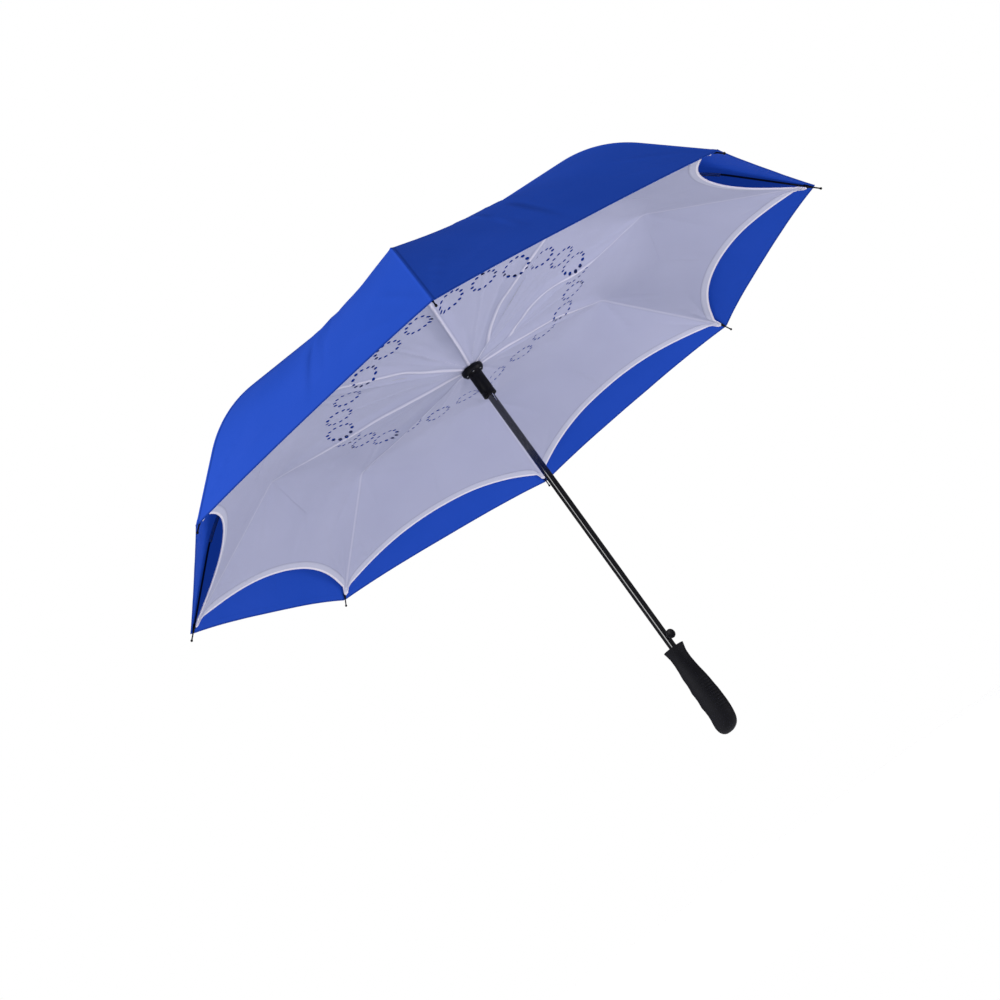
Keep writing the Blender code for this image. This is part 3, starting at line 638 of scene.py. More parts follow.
def seam_offset(x, y):
    """Distance in plan from the ridge that wanders beside the nearest rib."""
    sizes = bpy.context.scene.inner_canopy
    which = np.round((np.arctan2(y, x) - FIRST_RIB_ANGLE) / (2 * HALF_GORE)).astype(int) % RIB_COUNT
    radius, aside = np.hypot(x, y), np.zeros_like(x)
    for rib, path in enumerate(RIDGE_PATHS):
        stations = [(sizes.opening_radius, 0.0), *path, (sizes.joint_radius, 0.0)]
        places, swings = zip(*stations)
        steps = (-1.0, -0.5, 0.0, 0.5, 1.0)
        eased = sum(np.interp(radius + RIDGE_EASE * step, places, swings) for step in steps) / len(steps)
        aside = np.where(which == rib, eased, aside)
    return rib_distance(x, y) - aside


def outer_height(x, y):
    """Height of the blue cloth's upper face."""
    scene = bpy.context.scene
    sizes, cloth = scene.outer_canopy, scene.cloth_sizes
    along, share = gore_place(x, y)
    radius = along / math.cos(HALF_GORE)
    rise, slope = outer_profile(sizes, radius)
    tightened = np.clip((radius - sizes.taut_radius) / (sizes.rim_radius - sizes.taut_radius), 0, 1)
    drawn = 1 - tightened**2 * (3 - 2 * tightened)
    sag = sizes.gore_sag * np.minimum(radius / sizes.sag_full_radius, 1) * drawn
    rise = rise - sag * (1 - share**2) / np.cos(slope)
    hem_fade, least_slack, apex_fade = 0.045, 0.12, 0.1
    taut = np.clip((sizes.rim_radius - radius) / hem_fade, least_slack, 1)
    slack = (1 - share**2) * np.minimum(radius / apex_fade, 1) * taut
    rise += slack * ripples(x, y, OUTER_SWELLS, cloth.crease_height)
    rise += folds(x, y, OUTER_CREASES) * cloth.crease_height * taut
    rise += cloth.seam_height * np.exp(-((rib_distance(x, y) / cloth.seam_width) ** 2))
    return RIM_HEIGHT + rise


def inner_hem(sizes, share):
    """Where the hem crosses the ray at a share, along the gore's middle line, and its rise."""
    pocket_along = sizes.pocket_radius * math.cos(HALF_GORE)
    pocket_across = sizes.pocket_radius * math.sin(HALF_GORE)
    along = np.full_like(share, sizes.hem_radius)
    for _ in range(14):
        reach = share * along * math.tan(HALF_GORE) / pocket_across
        along = sizes.hem_radius + (pocket_along - sizes.hem_radius) * reach**sizes.hem_power
    rise = sizes.hem_rise + (sizes.pocket_rise - sizes.hem_rise) * reach**sizes.hem_power
    return along, rise


def inner_height(x, y):
    """Height of the white cloth's lower face, which the viewer sees."""
    scene = bpy.context.scene
    sizes, cloth = scene.inner_canopy, scene.cloth_sizes
    outer, ribs = scene.outer_canopy, scene.rib_sizes
    along, share = gore_place(x, y)
    radius = along / math.cos(HALF_GORE)
    hub_slope = (sizes.joint_rise - sizes.hub_rise) / (sizes.joint_radius - sizes.opening_radius)
    hem_along, hem_rise = inner_hem(sizes, share)
    hem_radius = hem_along / math.cos(HALF_GORE)
    rim_slope = (hem_rise - sizes.joint_rise) / (hem_radius - sizes.joint_radius)
    beyond = radius - sizes.joint_radius
    soft = sizes.soft_middle + (sizes.soft_rib - sizes.soft_middle) * share**1.5
    eased = np.where(beyond > soft, beyond, np.clip(beyond + soft, 0, None) ** 2 / (4 * soft))
    rise = sizes.joint_rise + hub_slope * beyond + (rim_slope - hub_slope) * eased
    hub_share = np.clip((radius - sizes.opening_radius) / (sizes.joint_radius - sizes.opening_radius), 0, 1)
    rim_share = np.clip(beyond / (hem_radius - sizes.joint_radius), 0, 1)
    slack = (1 - share**2) * hub_share * (1 - rim_share)
    rise -= sizes.gore_sag * slack
    rise += sizes.gore_lift * (1 - share**5) * 4 * hub_share * (1 - hub_share)
    holder_radius, room = 1.6 * ribs.rod_radius, 0.0004
    wrapped = ribs.rod_drop + holder_radius + room
    rod_line = outer.rim_rise + math.tan(outer.rim_angle) * (outer.rim_radius - radius)
    rise = np.minimum(rise, rod_line - wrapped / math.cos(outer.rim_angle))
    clamp_radius, clamp_fade = 0.02, 0.05
    loose = np.clip((radius - clamp_radius) / clamp_fade, 0, 1) * (1 - share**4) * (1 - 0.9 * rim_share)
    rise += loose * ripples(x, y, INNER_SWELLS, cloth.crease_height)
    rise += folds(x, y, INNER_FOLDS) * cloth.crease_height
    seam = seam_offset(x, y)
    rise -= cloth.seam_height * np.exp(-((seam / cloth.seam_width) ** 2))
    tent = np.clip(1 - np.hypot(seam, sizes.tent_round) / sizes.tent_width, 0, 1) ** 1.4
    rise -= sizes.tent_height * tent * np.clip(4 * hub_share * (1 - hub_share), 0.25, 1) * (1 - rim_share)
    return RIM_HEIGHT + rise


# Cloth sheets


def fan():
    """Angles of a leaf's columns, from one gore's middle over the rib to the other."""
    near_rib = [0.12, 0.26, 0.42, 0.62, 0.9, 1.3]
    to_middle = list(np.linspace(2.0, GORE_DEGREES / 2, 20))
    half = [math.radians(a) for a in near_rib + to_middle]
    half[-1] = HALF_GORE
    return np.array([-a for a in reversed(half)] + [0.0] + half)


def grid_faces(rows, columns):
    """Faces of a grid of points that is stored row by row."""
    faces = []
    for i in range(rows - 1):
        for j in range(columns - 1):
            low = i * columns + j
            faces.append((low, low + columns, low + columns + 1, low + 1))
    return faces


def grid_plan(inner, outer, angles, shares, hem_steps=(), lead=()):
    """Plan points between two edges, given as a radius at each angle, and their count of rows.

    Hem steps are the last rows' distances from the outer edge, and lead rows replace the first.
    """
    rows = np.array([inner + (outer - inner) * s for s in shares])
    if len(hem_steps):
        last = outer - hem_steps[0][0]
        rows = np.array([inner + (last - inner) * s for s in shares[:-1]])
        rows = np.vstack([rows, [outer - step for step in hem_steps]])
    if len(lead):
        rows = np.vstack([lead, rows[1:]])
    x = rows * np.cos(angles)
    y = rows * np.sin(angles)
    return np.stack([x.ravel(), y.ravel()], axis=1), len(rows)


def rotate_plan(plan, angle):
    """X and Y of a rib's plan, turned to the rib's place."""
    c, s = math.cos(angle), math.sin(angle)
    return plan[:, 0] * c - plan[:, 1] * s, plan[:, 0] * s + plan[:, 1] * c


def hang(name, plan, faces, height, below, above, marks, rib, finish):
    """Make a thin closed sheet over a plan. Below and above say how far its faces stand off."""
    if signed_area(plan, faces[0]) < 0:
        raise RuntimeError(f"{name}: the plan's faces must run anticlockwise")
    x, y = rotate_plan(plan, rib_angle(rib))
    z = height(x, y)
    step = SURFACE_STEP
    dx = (height(x + step, y) - height(x - step, y)) / (2 * step)
    dy = (height(x, y + step) - height(x, y - step)) / (2 * step)
    normals = np.stack([-dx, -dy, np.ones_like(dx)], axis=1)
    normals /= np.linalg.norm(normals, axis=1)[:, None]
    middle = np.stack([x, y, z], axis=1)
    low = middle - normals * below[:, None]
    high = middle + normals * above[:, None]
    count = len(plan)
    points = np.vstack([low, high])

    used = dict.fromkeys(edge for face in faces for edge in zip(face, face[1:] + face[:1]))
    borders = [edge for edge in used if edge[::-1] not in used]
    upper = [tuple(i + count for i in face) for face in faces]
    lower = [tuple(reversed(face)) for face in faces]
    walls = [(a, b, b + count, a + count) for a, b in borders]

    mesh = bpy.data.meshes.new(name)
    mesh.from_pydata(points.tolist(), [], upper + lower + walls)
    mesh.shade_smooth()
    loop_normals = []
    for face in upper:
        loop_normals += [tuple(normals[i - count]) for i in face]
    for face in lower:
        loop_normals += [tuple(-normals[i]) for i in face]
    for face in walls:
        a, b, c = (Vector(points[i]) for i in face[:3])
        out = (b - a).cross(c - a)
        out = out.normalized() if out.length > 0 else Vector((0, 0, 1))
        loop_normals += [tuple(out)] * 4
    mesh.normals_split_custom_set(loop_normals)
    for mark, values in marks.items():
        made = mesh.attributes.new(mark, "FLOAT", "POINT")
        made.data.foreach_set("value", np.concatenate([values, values]).astype(np.float32))
    layer = mesh.uv_layers.new(name="Cloth")
    corner = np.zeros(len(mesh.loops), np.int32)
    mesh.loops.foreach_get("vertex_index", corner)
    flat = np.stack([plan[:, 1], plan[:, 0]], axis=1)[corner % count]
    layer.data.foreach_set("uv", flat.astype(np.float32).ravel())
    made = bpy.data.objects.new(name, mesh)
    bpy.context.scene.collection.objects.link(made)
    mesh.materials.append(finish_of(finish))
    return made


def signed_area(plan, face):
    """Area of a face in plan, negative where its corners run clockwise."""
    total = 0.0
    for here, after in zip(face, face[1:] + face[:1]):
        total += plan[here][0] * plan[after][1] - plan[after][0] * plan[here][1]
    return total / 2


def hem_bulge(distance, width, piping, height):
    """How far a turned hem, and the cord in its edge, stand out of the cloth."""
    band = height * np.clip((width - distance) / 0.0005, 0, 1)
    cord = np.where(distance < piping, 1 - ((distance / piping) * 2 - 1) ** 2, 0)
    return band + height * 1.8 * np.sqrt(np.clip(cord, 0, 1))


def sewn(made, rib, body, node):
    """Let a leaf ride on its body, and stand for its solid, if it has one."""
    number, angle = rib + 1, rib_angle(rib)
    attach(made, f"{body}_{number}")
    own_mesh(made)
    if node:
        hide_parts(f"{node}_{number}")


def leaf_area(inner, outer, angles, slope):
    """Flat area of a leaf, from its edges' radius at each angle in plan and the cloth's slope."""
    sector = (outer**2 - inner**2) / 2
    return float(np.sum((sector[1:] + sector[:-1]) / 2 * np.diff(angles))) / math.cos(slope)


def no_hem(plan):
    """Distance from the hem where a leaf has none: a metre, beyond any of its marks."""
    return np.full(len(plan), 1.0)


class UMBRELLA_OT_outer_canopy(bpy.types.Operator):
    """Sew the blue outer canopy: a crown leaf and a rim leaf over each rib"""

    bl_idname = "umbrella.outer_canopy"
    bl_label = "Outer Canopy"

    crown_rows: IntProperty(name="Crown rows", description="Rows of cloth from apex to elbow", default=26)
    rim_rows: IntProperty(name="Rim rows", description="Rows of cloth from elbow to hem", default=34)
    crown_keep: share_of("Crown keep", "Width of a crown leaf that is left when folded", 0.17)
    rim_keep: share_of("Rim keep", "Width of a rim leaf that is left when folded", 0.36)

    def execute(self, context):
        sizes, cloth = context.scene.outer_canopy, context.scene.cloth_sizes
        angles = fan()
        elbow = sizes.elbow_radius / np.cos(angles)
        across = HALF_GORE - np.abs(angles)
        share = np.tan(across) / math.tan(HALF_GORE)
        drawn_in = sizes.hem_cut_in * math.cos(sizes.rim_angle) * (1 - share**3)
        hem = (sizes.rim_radius * math.cos(HALF_GORE) - drawn_in) / np.cos(across)
        # Rows close to the hem, where the turned cloth and the cord in its edge stand out
        steps = [0.0088, 0.0070, 0.0064, 0.0058, 0.0030, 0.0012, 0.0004, 0.0]
        crown, crown_count = grid_plan(
            np.full_like(angles, sizes.opening_radius), elbow, angles, np.linspace(0, 1, self.crown_rows)
        )
        rim, rim_count = grid_plan(
            elbow, hem, angles, np.linspace(0, 1, self.rim_rows), [np.full_like(angles, s) for s in steps]
        )
        hem_distance = (np.tile(hem, rim_count) - np.hypot(rim[:, 0], rim[:, 1])).clip(0)
        cord_width, band_height = 0.0012, 0.00025
        stand = hem_bulge(hem_distance, sizes.hem_width, cord_width, band_height)
        crown_flat = (
            2 * sizes.elbow_radius * math.tan(HALF_GORE),
            sizes.elbow_radius / math.cos(sizes.crown_angle),
        )
        crown_area = leaf_area(sizes.opening_radius, elbow, angles, sizes.crown_angle)
        rim_flat = (
            sizes.rim_radius * math.sin(2 * HALF_GORE),
            (sizes.rim_radius - sizes.elbow_radius) / math.cos(BLUE_RIM_SLOPE),
        )
        rim_area = leaf_area(elbow, hem, angles, BLUE_RIM_SLOPE)
        leaves = (
            ("crown", crown, crown_count, no_hem(crown), np.zeros(len(crown)),
             "upper", self.crown_keep, "crown_leaf", crown_flat, crown_area),
            ("rim", rim, rim_count, hem_distance, stand,
             "rib", self.rim_keep, "rim_leaf", rim_flat, rim_area),
        )
        for rib in range(RIB_COUNT):
            for part, plan, count, from_hem, bulge, body, keep, node, flat, area in leaves:
                marks = {"from_hem": from_hem, "from_seam": plan[:, 1]}
                made = hang(
                    f"blue_{part}_cloth_{rib + 1}", plan, grid_faces(count, len(angles)), outer_height,
                    bulge + cloth.thickness, bulge, marks, rib, "royal_blue_cloth",
                )
                sewn(made, rib, body, node)
        return {"FINISHED"}


def vent_holes(sizes):
    """Centres of the holes that fall on one leaf of the white canopy, in plan."""
    vents_in_gore, holes_in_ring = 3, 12
    centres = []
    for vent in (-1.5, -0.5, 0.5, 1.5):
        degrees = vent * GORE_DEGREES / vents_in_gore
        cx, cy = polar(sizes.vent_radius, degrees)
        for k in range(holes_in_ring):
            way = math.radians(degrees + 360 / holes_in_ring * (k + 0.5))
            x = cx + sizes.vent_ring_radius * math.cos(way)
            y = cy + sizes.vent_ring_radius * math.sin(way)
            if abs(math.atan2(y, x)) < HALF_GORE:
                centres.append((x, y))
    return centres


def pierced(plan, outline, holes, radius, sides=10):
    """Triangulate a plan inside its outline, with round holes left out."""
    keep = np.ones(len(plan), bool)
    for hx, hy in holes:
        keep &= np.hypot(plan[:, 0] - hx, plan[:, 1] - hy) >= radius * 1.5
    keep[outline] = True
    new_number = np.cumsum(keep) - 1
    points = [Vector(p) for p in plan[keep].tolist()]
    loops = [[int(new_number[i]) for i in outline]]
    for hx, hy in holes:
        start = len(points)
        for k in range(sides):
            way = 2 * math.pi * k / sides
            points.append(Vector((hx + radius * math.cos(way), hy + radius * math.sin(way))))
        loops.append(list(range(start, start + sides)))
    edges = [(a, b) for loop in loops for a, b in zip(loop, loop[1:] + loop[:1])]
    made, _, faces, *_ = delaunay_2d_cdt(points, edges, [], 0, 1e-7)
    made = np.array([tuple(p) for p in made])
    border = np.array([tuple(points[i]) for i in loops[0]])
    good = []
    for face in faces:
        centre = made[list(face)].mean(axis=0)
        in_hole = any(math.hypot(centre[0] - hx, centre[1] - hy) < radius * 0.9 for hx, hy in holes)
        if in_hole or not within(centre, border):
            continue
        good.append(tuple(face) if signed_area(made, face) >= 0 else tuple(reversed(face)))
    return made, good


def within(point, outline):
    """True if a point lies inside a closed outline."""
    x, y = point
    ax, ay = outline[:, 0], outline[:, 1]
    bx, by = np.roll(ax, -1), np.roll(ay, -1)
    crossing = (ay > y) != (by > y)
    with np.errstate(divide="ignore", invalid="ignore"):
        at = ax + (y - ay) * (bx - ax) / (by - ay)
    return bool(np.count_nonzero(crossing & (at > x)) % 2)


def hub_plan(sizes, angles, joint, rows):
    """Plan and faces of a leaf from the runner to the rib joints, with the vents left out."""
    columns = len(angles)
    opening = np.full_like(angles, sizes.opening_radius)
    plan, count = grid_plan(opening, joint, angles, np.linspace(0, 1, rows))
    outline = list(range(columns))
    outline += [columns * i + columns - 1 for i in range(1, count)]
    outline += [columns * (count - 1) + j for j in range(columns - 2, -1, -1)]
    outline += [columns * i for i in range(count - 2, 0, -1)]
    return pierced(plan, outline, vent_holes(sizes), sizes.vent_hole_radius)


def pocket_hem(sizes, angles):
    """Radius of the white hem at each angle, with the tip pocket's tongue, and its obliqueness."""
    rounded = np.sqrt(angles**2 + (sizes.pocket_round / sizes.pocket_radius) ** 2)
    share = np.tan(np.clip(HALF_GORE - rounded, 0, None)) / math.tan(HALF_GORE)
    hem = inner_hem(sizes, share)[0] / np.cos(HALF_GORE - np.abs(angles))
    slant = np.gradient(hem, angles) / hem
    aside = np.abs(hem * np.sin(angles)) / sizes.tongue_width
    tongue = np.clip((1.12 - aside) * 4, 0, 1) - 0.10 * np.clip(aside, 0, 1) ** 2
    return hem + sizes.tongue_length * tongue, np.sqrt(1 + slant**2)


class UMBRELLA_OT_inner_canopy(bpy.types.Operator):
    """Sew the white inner canopy: pierced hub leaves and hemmed rim leaves"""

    bl_idname = "umbrella.inner_canopy"
    bl_label = "Inner Canopy"

    hub_rows: IntProperty(name="Hub rows", description="Rows of cloth from runner to joint", default=58)
    rim_rows: IntProperty(name="Rim rows", description="Rows of cloth from joint to hem", default=34)
    hub_keep: share_of("Hub keep", "Width of a hub leaf that is left when folded", 0.335)
    rim_keep: share_of("Rim keep", "Width of a rim leaf that is left when folded", 0.38)

    def execute(self, context):
        sizes, cloth = context.scene.inner_canopy, context.scene.cloth_sizes
        angles = fan()
        joint = sizes.joint_radius / np.cos(angles)
        hub, hub_faces = hub_plan(sizes, angles, joint, self.hub_rows)
        hem, square = pocket_hem(sizes, angles)
        # Rows close to the hem, where the binding and the cord in its edge stand out
        steps = [0.0125, 0.0104, 0.0099, 0.0094, 0.0060, 0.0034, 0.0027, 0.0020, 0.0013, 0.0006, 0.0002, 0.0]
        tab = sizes.fold_tab * (np.abs(angles) / HALF_GORE) ** 1.2 + cloth.thickness
        rim, rim_count = grid_plan(
            joint, hem, angles, np.linspace(0, 1, self.rim_rows), [square * s for s in steps],
            [joint - tab, joint - tab / 2, joint, joint + sizes.tab_gap],
        )
        lift = np.zeros(len(rim))
        lift[: 3 * len(angles)] = sizes.tab_gap
        hem_distance = np.tile(hem, rim_count) - np.hypot(rim[:, 0], rim[:, 1])
        hem_distance = (hem_distance / np.tile(square, rim_count)).clip(0)
        hem_pieces = np.hypot(np.diff(hem * np.cos(angles)), np.diff(hem * np.sin(angles)))
        run = np.concatenate([[0], np.cumsum(hem_pieces)])
        band_height = 0.00035
        stand = hem_bulge(hem_distance, sizes.hem_width, sizes.piping_width, band_height)

        hub_run, hub_fall = sizes.joint_radius - sizes.opening_radius, sizes.joint_rise - sizes.hub_rise
        hub_slope = math.atan(hub_fall / hub_run)
        hub_flat = (2 * sizes.joint_radius * math.tan(HALF_GORE), sizes.joint_radius)
        hub_area = leaf_area(sizes.opening_radius, joint, angles, hub_slope)
        rim_reach = sizes.pocket_radius + sizes.tongue_length - sizes.joint_radius + sizes.fold_tab
        rim_flat = (2 * sizes.hem_radius * math.sin(HALF_GORE), rim_reach / math.cos(WHITE_RIM_SLOPE))
        rim_area = leaf_area(joint - tab, hem, angles, WHITE_RIM_SLOPE)
        leaves = (
            ("hub", hub, hub_faces, np.zeros(len(hub)), np.zeros(len(hub)), no_hem(hub), hub[:, 1],
             "lower", self.hub_keep, "inner_leaf", hub_flat, hub_area),
            ("rim", rim, grid_faces(rim_count, len(angles)), stand - lift, stand + lift, hem_distance,
             np.tile(run, rim_count), "rib", self.rim_keep, None, rim_flat, rim_area),
        )
        for rib in range(RIB_COUNT):
            for part, plan, faces, below, above, from_hem, along, body, keep, node, flat, area in leaves:
                marks = {
                    "from_hem": from_hem,
                    "from_seam": seam_offset(*rotate_plan(plan, rib_angle(rib))),
                    "along_hem": along,
                }
                made = hang(
                    f"white_{part}_cloth_{rib + 1}", plan, faces, inner_height,
                    below, above + cloth.thickness, marks, rib, "white_lining_cloth",
                )
                sewn(made, rib, body, node)
        return {"FINISHED"}


# Modelling by hand


def deselect():
    """Leave edit mode and drop the selection."""
    if bpy.context.object and bpy.context.object.mode != "OBJECT":
        bpy.ops.object.mode_set(mode="OBJECT")
    bpy.ops.object.select_all(action="DESELECT")


def pick_faces(made, chosen):
    """Select those faces of a piece whose middle and normal pass a test."""
    bpy.ops.object.mode_set(mode="OBJECT")
    mesh = made.data
    for group in (mesh.vertices, mesh.edges, mesh.polygons):
        group.foreach_set("select", [False] * len(group))
    for face in mesh.polygons:
        face.select = bool(chosen(face.center, face.normal))
        if face.select:
            for i in face.vertices:
                mesh.vertices[i].select = True
    bpy.ops.object.mode_set(mode="EDIT")
    bpy.ops.mesh.select_mode(type="FACE")


def begin(name):
    """Name the primitive that was just added and put its place in its mesh."""
    made = bpy.context.object
    made.name = made.data.name = name
    bpy.ops.object.transform_apply(location=True, rotation=True, scale=True)
    return made


def apply(made, kind, **settings):
    """Add a modifier with its settings and apply it."""
    bpy.ops.object.mode_set(mode="OBJECT")
    step = made.modifiers.new(kind, kind)
    for name, value in settings.items():
        setattr(step, name, value)
    bpy.ops.object.modifier_apply(modifier=step.name)


def tidy(made, degrees=35, finish=None):
    """Merge doubles, turn the faces out and smooth all but the sharp edges."""
    bpy.context.view_layer.objects.active = made
    bpy.ops.object.mode_set(mode="EDIT")
    bpy.ops.mesh.select_all(action="SELECT")
    bpy.ops.mesh.remove_doubles(threshold=0.000002)
    bpy.ops.mesh.normals_make_consistent(inside=False)
    bpy.ops.object.mode_set(mode="OBJECT")
    made.select_set(True)
    bpy.ops.object.shade_smooth_by_angle(angle=math.radians(degrees))
    if finish:
        made.data.materials.clear()
        made.data.materials.append(finish_of(finish))
    return made


def edit_faces(made):
    """Open a piece in edit mode with all its faces selected."""
    bpy.ops.object.mode_set(mode="EDIT")
    bpy.ops.mesh.select_mode(type="FACE")
    bpy.ops.mesh.select_all(action="SELECT")
    return made


def disc(name, radius, sides, centre, rotation=(0, 0, 0)):
    """Add a filled circle, ready to be pulled into a turned piece."""
    deselect()
    bpy.ops.mesh.primitive_circle_add(
        vertices=sides, radius=radius, fill_type="NGON", location=centre, rotation=rotation
    )
    return edit_faces(begin(name))


def pull(offset, scale=1.0, centre=(0, 0, 0), axis_scale=None):
    """Extrude what is selected, move it and then resize it about a centre."""
    bpy.ops.mesh.extrude_region_move(TRANSFORM_OT_translate={"value": offset})
    value = axis_scale or (scale, scale, scale)
    if value != (1.0, 1.0, 1.0):
        bpy.ops.transform.resize(value=value, center_override=centre)


def pull_through(stations, place, size, start, way):
    """Raise a disc from a place and size through stations of (distance along a way, radius)."""
    for station, wide in stations:
        pull(way * (station - place), wide / size, start + way * station)
        place, size = station, wide


def turned_piece(name, profile, sides, finish=None, base=0.0):
    """Raise a disc through a profile of (radius, height), closed at both ends."""
    radius, height = profile[0]
    made = disc(name, radius, sides, (0, 0, base + height))
    for next_radius, next_height in profile[1:]:
        pull((0, 0, next_height - height), next_radius / radius, (0, 0, base + next_height))
        radius, height = next_radius, next_height
    return tidy(made, 35, finish)


def bore(radius, low, high, sides, base=0.0):
    """A round cutter about the shaft's axis."""
    return turned_piece("bore", [(radius, low), (radius, high)], sides, base=base)


def cut(made, tools):
    """Cut a piece with other pieces, which are then removed."""
    for tool in tools:
        deselect()
        bpy.context.view_layer.objects.active = made
        made.select_set(True)
        apply(made, "BOOLEAN", object=tool, operation="DIFFERENCE", solver="EXACT")
        bpy.data.objects.remove(tool, do_unlink=True)


def box_tool(low, high, angle):
    """A box cutter between two corners, turned about the shaft."""
    deselect()
    bpy.ops.mesh.primitive_cube_add(size=1.0)
    made = begin("cutter")
    size = [b - a for a, b in zip(low, high)]
    middle = [(a + b) / 2 for a, b in zip(low, high)]
    made.data.transform(Matrix.Translation(middle) @ Matrix.Diagonal((*size, 1.0)))
    made.data.transform(Matrix.Rotation(angle, 4, "Z"))
    return made


def join(parts, name):
    """Join pieces into the first of them."""
    deselect()
    for part in parts:
        part.select_set(True)
    bpy.context.view_layer.objects.active = parts[0]
    bpy.ops.object.join()
    parts[0].name = parts[0].data.name = name
    return parts[0]


def copy_turned(made, name, angle):
    """A copy with its own mesh, turned about the shaft."""
    twin = made.copy()
    twin.data = made.data.copy()
    twin.name = twin.data.name = name
    bpy.context.scene.collection.objects.link(twin)
    twin.data.transform(Matrix.Rotation(angle, 4, "Z"))
    return twin


def stand_for(made, body, node):
    """Let a piece ride on a body and take its solid's place."""
    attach(made, body)
    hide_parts(node)


# Ribs


def bow(sizes, drop):
    """Centre and radius of the bow that a rib follows at a drop below the cloth."""
    _, _, middle, rise = bow_line(sizes)
    return Vector((middle, 0, RIM_HEIGHT + rise)), sizes.crest_radius - drop


def on_bow(centre, radius, slope):
    """Point of the bow where the rib has a downward slope."""
    return centre + radius * Vector((math.sin(slope), 0, math.cos(slope)))


def along_slope(slope, distance=1.0):
    """Step outward and down a slope in the plane of a rib."""
    return Vector((math.cos(slope), 0, -math.sin(slope))) * distance


def bent_bar(name, section, outer, drop, start_radius, end_radius):
    """Push a section along the rib's line: straight, round the bow, and straight again."""
    centre, radius = bow(outer, drop)
    crown, rim = outer.crown_angle, outer.rim_angle
    first = on_bow(centre, radius, crown)
    last = on_bow(centre, radius, rim)
    lead = (first.x - start_radius) / math.cos(crown)
    if start_radius < first.x:
        begin_slope, origin = crown, first - along_slope(crown, lead)
    else:
        begin_slope = math.asin((start_radius - centre.x) / radius)
        origin = on_bow(centre, radius, begin_slope)
    made = section(name, origin, begin_slope)
    if start_radius < first.x:
        pull(along_slope(crown, lead))
    end_slope = min(rim, math.asin(min(1.0, (end_radius - centre.x) / radius)))
    steps = max(3, round(math.degrees(end_slope - begin_slope) / 1.6))
    bpy.ops.mesh.spin(
        steps=steps, angle=end_slope - begin_slope, center=centre, axis=(0, -1, 0), use_auto_merge=False
    )
    if end_radius > last.x:
        pull(along_slope(rim, (end_radius - last.x) / math.cos(rim)))
    bpy.ops.object.mode_set(mode="OBJECT")
    return made


def steel_channel(outer, ribs):
    """Rolled strip from just before the elbow outward, open below and at its ends."""

    def strip(name, origin, slope):
        deselect()
        bpy.ops.mesh.primitive_plane_add(size=1.0, location=origin, rotation=(0, math.pi / 2 + slope, 0))
        made = bpy.context.object
        made.scale = (ribs.height, ribs.width, 1.0)
        return edit_faces(begin(name))

    start = outer.elbow_radius - 0.004
    channel = bent_bar("channel", strip, outer, ribs.channel_drop, start, ribs.channel_end)
    tidy(channel)
    centre, radius = bow(outer, ribs.channel_drop)

    def open_side(middle, normal):
        """Ends and underside of the bar, which the rolled strip leaves open."""
        lean = max(-1.0, min(1.0, (middle.x - centre.x) / radius))
        slope = max(math.asin(lean), outer.crown_angle)
        down = Vector((-math.sin(slope), 0, -math.cos(slope)))
        return normal.dot(down) > 0.8 or abs(normal.dot(along_slope(slope))) > 0.8

    pick_faces(channel, open_side)
    bpy.ops.mesh.delete(type="FACE")
    bpy.ops.object.mode_set(mode="OBJECT")
    apply(channel, "SOLIDIFY", thickness=ribs.wall, offset=-1.0)
    apply(channel, "BEVEL", width=0.00022, segments=2, limit_method="ANGLE")
    return tidy(channel, 40, "plated_strip_steel")


def rod_and_tip(outer, ribs):
    """Fibreglass rod out of the channel, and its moulded tip with a pin and a ball end."""

    def round_bar(name, origin, slope):
        return disc(name, ribs.rod_radius, 16, origin, rotation=(0, math.pi / 2 + slope, 0))

    tip_start = outer.rim_radius - 0.011
    rod = bent_bar("rod", round_bar, outer, ribs.rod_drop, ribs.channel_end - 0.012, tip_start)
    tidy(rod, 40, "black_fibreglass_rod")

    rim = outer.rim_angle
    base, base_radius = bow(outer, ribs.rod_drop)
    last = on_bow(base, base_radius, rim)
    foot = last + along_slope(rim, (tip_start - 0.002 - last.x) / math.cos(rim))
    holder = disc("tip", ribs.rod_radius * 1.25, 16, foot, rotation=(0, math.pi / 2 + rim, 0))
    end = last + along_slope(rim, (outer.rim_radius - last.x) / math.cos(rim))
    whole = (end - foot).length + ribs.tip_reach
    ball = ribs.ball_radius
    stations = [
        (0.0008, 1.55 * ribs.rod_radius),
        (0.0068, 1.60 * ribs.rod_radius),
        (0.0074, 1.25 * ribs.rod_radius),
        (0.0120, 1.05 * ribs.rod_radius),
        (0.0132, ribs.pin_radius),
        (whole - 2 * ball, ribs.pin_radius),
        (whole - 1.7 * ball, 0.75 * ball),
        (whole - 1.2 * ball, ball),
        (whole - 0.8 * ball, ball),
        (whole - 0.3 * ball, 0.75 * ball),
        (whole, 0.25 * ball),
    ]
    pull_through(stations, 0.0, 1.25 * ribs.rod_radius, foot, along_slope(rim))
    return rod, tidy(holder, 50, "moulded_black_plastic")


def joint_bracket(ribs, elbow, joint):
    """Bracket that carries the pin of the rib joint below the elbow."""
    link = joint - elbow
    lean = math.atan2(link.z, link.x)
    deselect()
    bpy.ops.mesh.primitive_cube_add(size=1.0, location=(elbow + joint) / 2, rotation=(0, -lean, 0))
    bracket = bpy.context.object
    bracket.scale = (link.length, ribs.width, 0.0046)
    bracket = begin("bracket")
    pick_faces(bracket, lambda middle, normal: abs(normal.dot(link.normalized())) > 0.9)
    bpy.ops.mesh.extrude_region_shrink_fatten(TRANSFORM_OT_shrink_fatten={"value": 0.0019})
    apply(bracket, "BEVEL", width=0.0007, segments=3, limit_method="ANGLE")
    return tidy(bracket, 40, "plated_strip_steel")


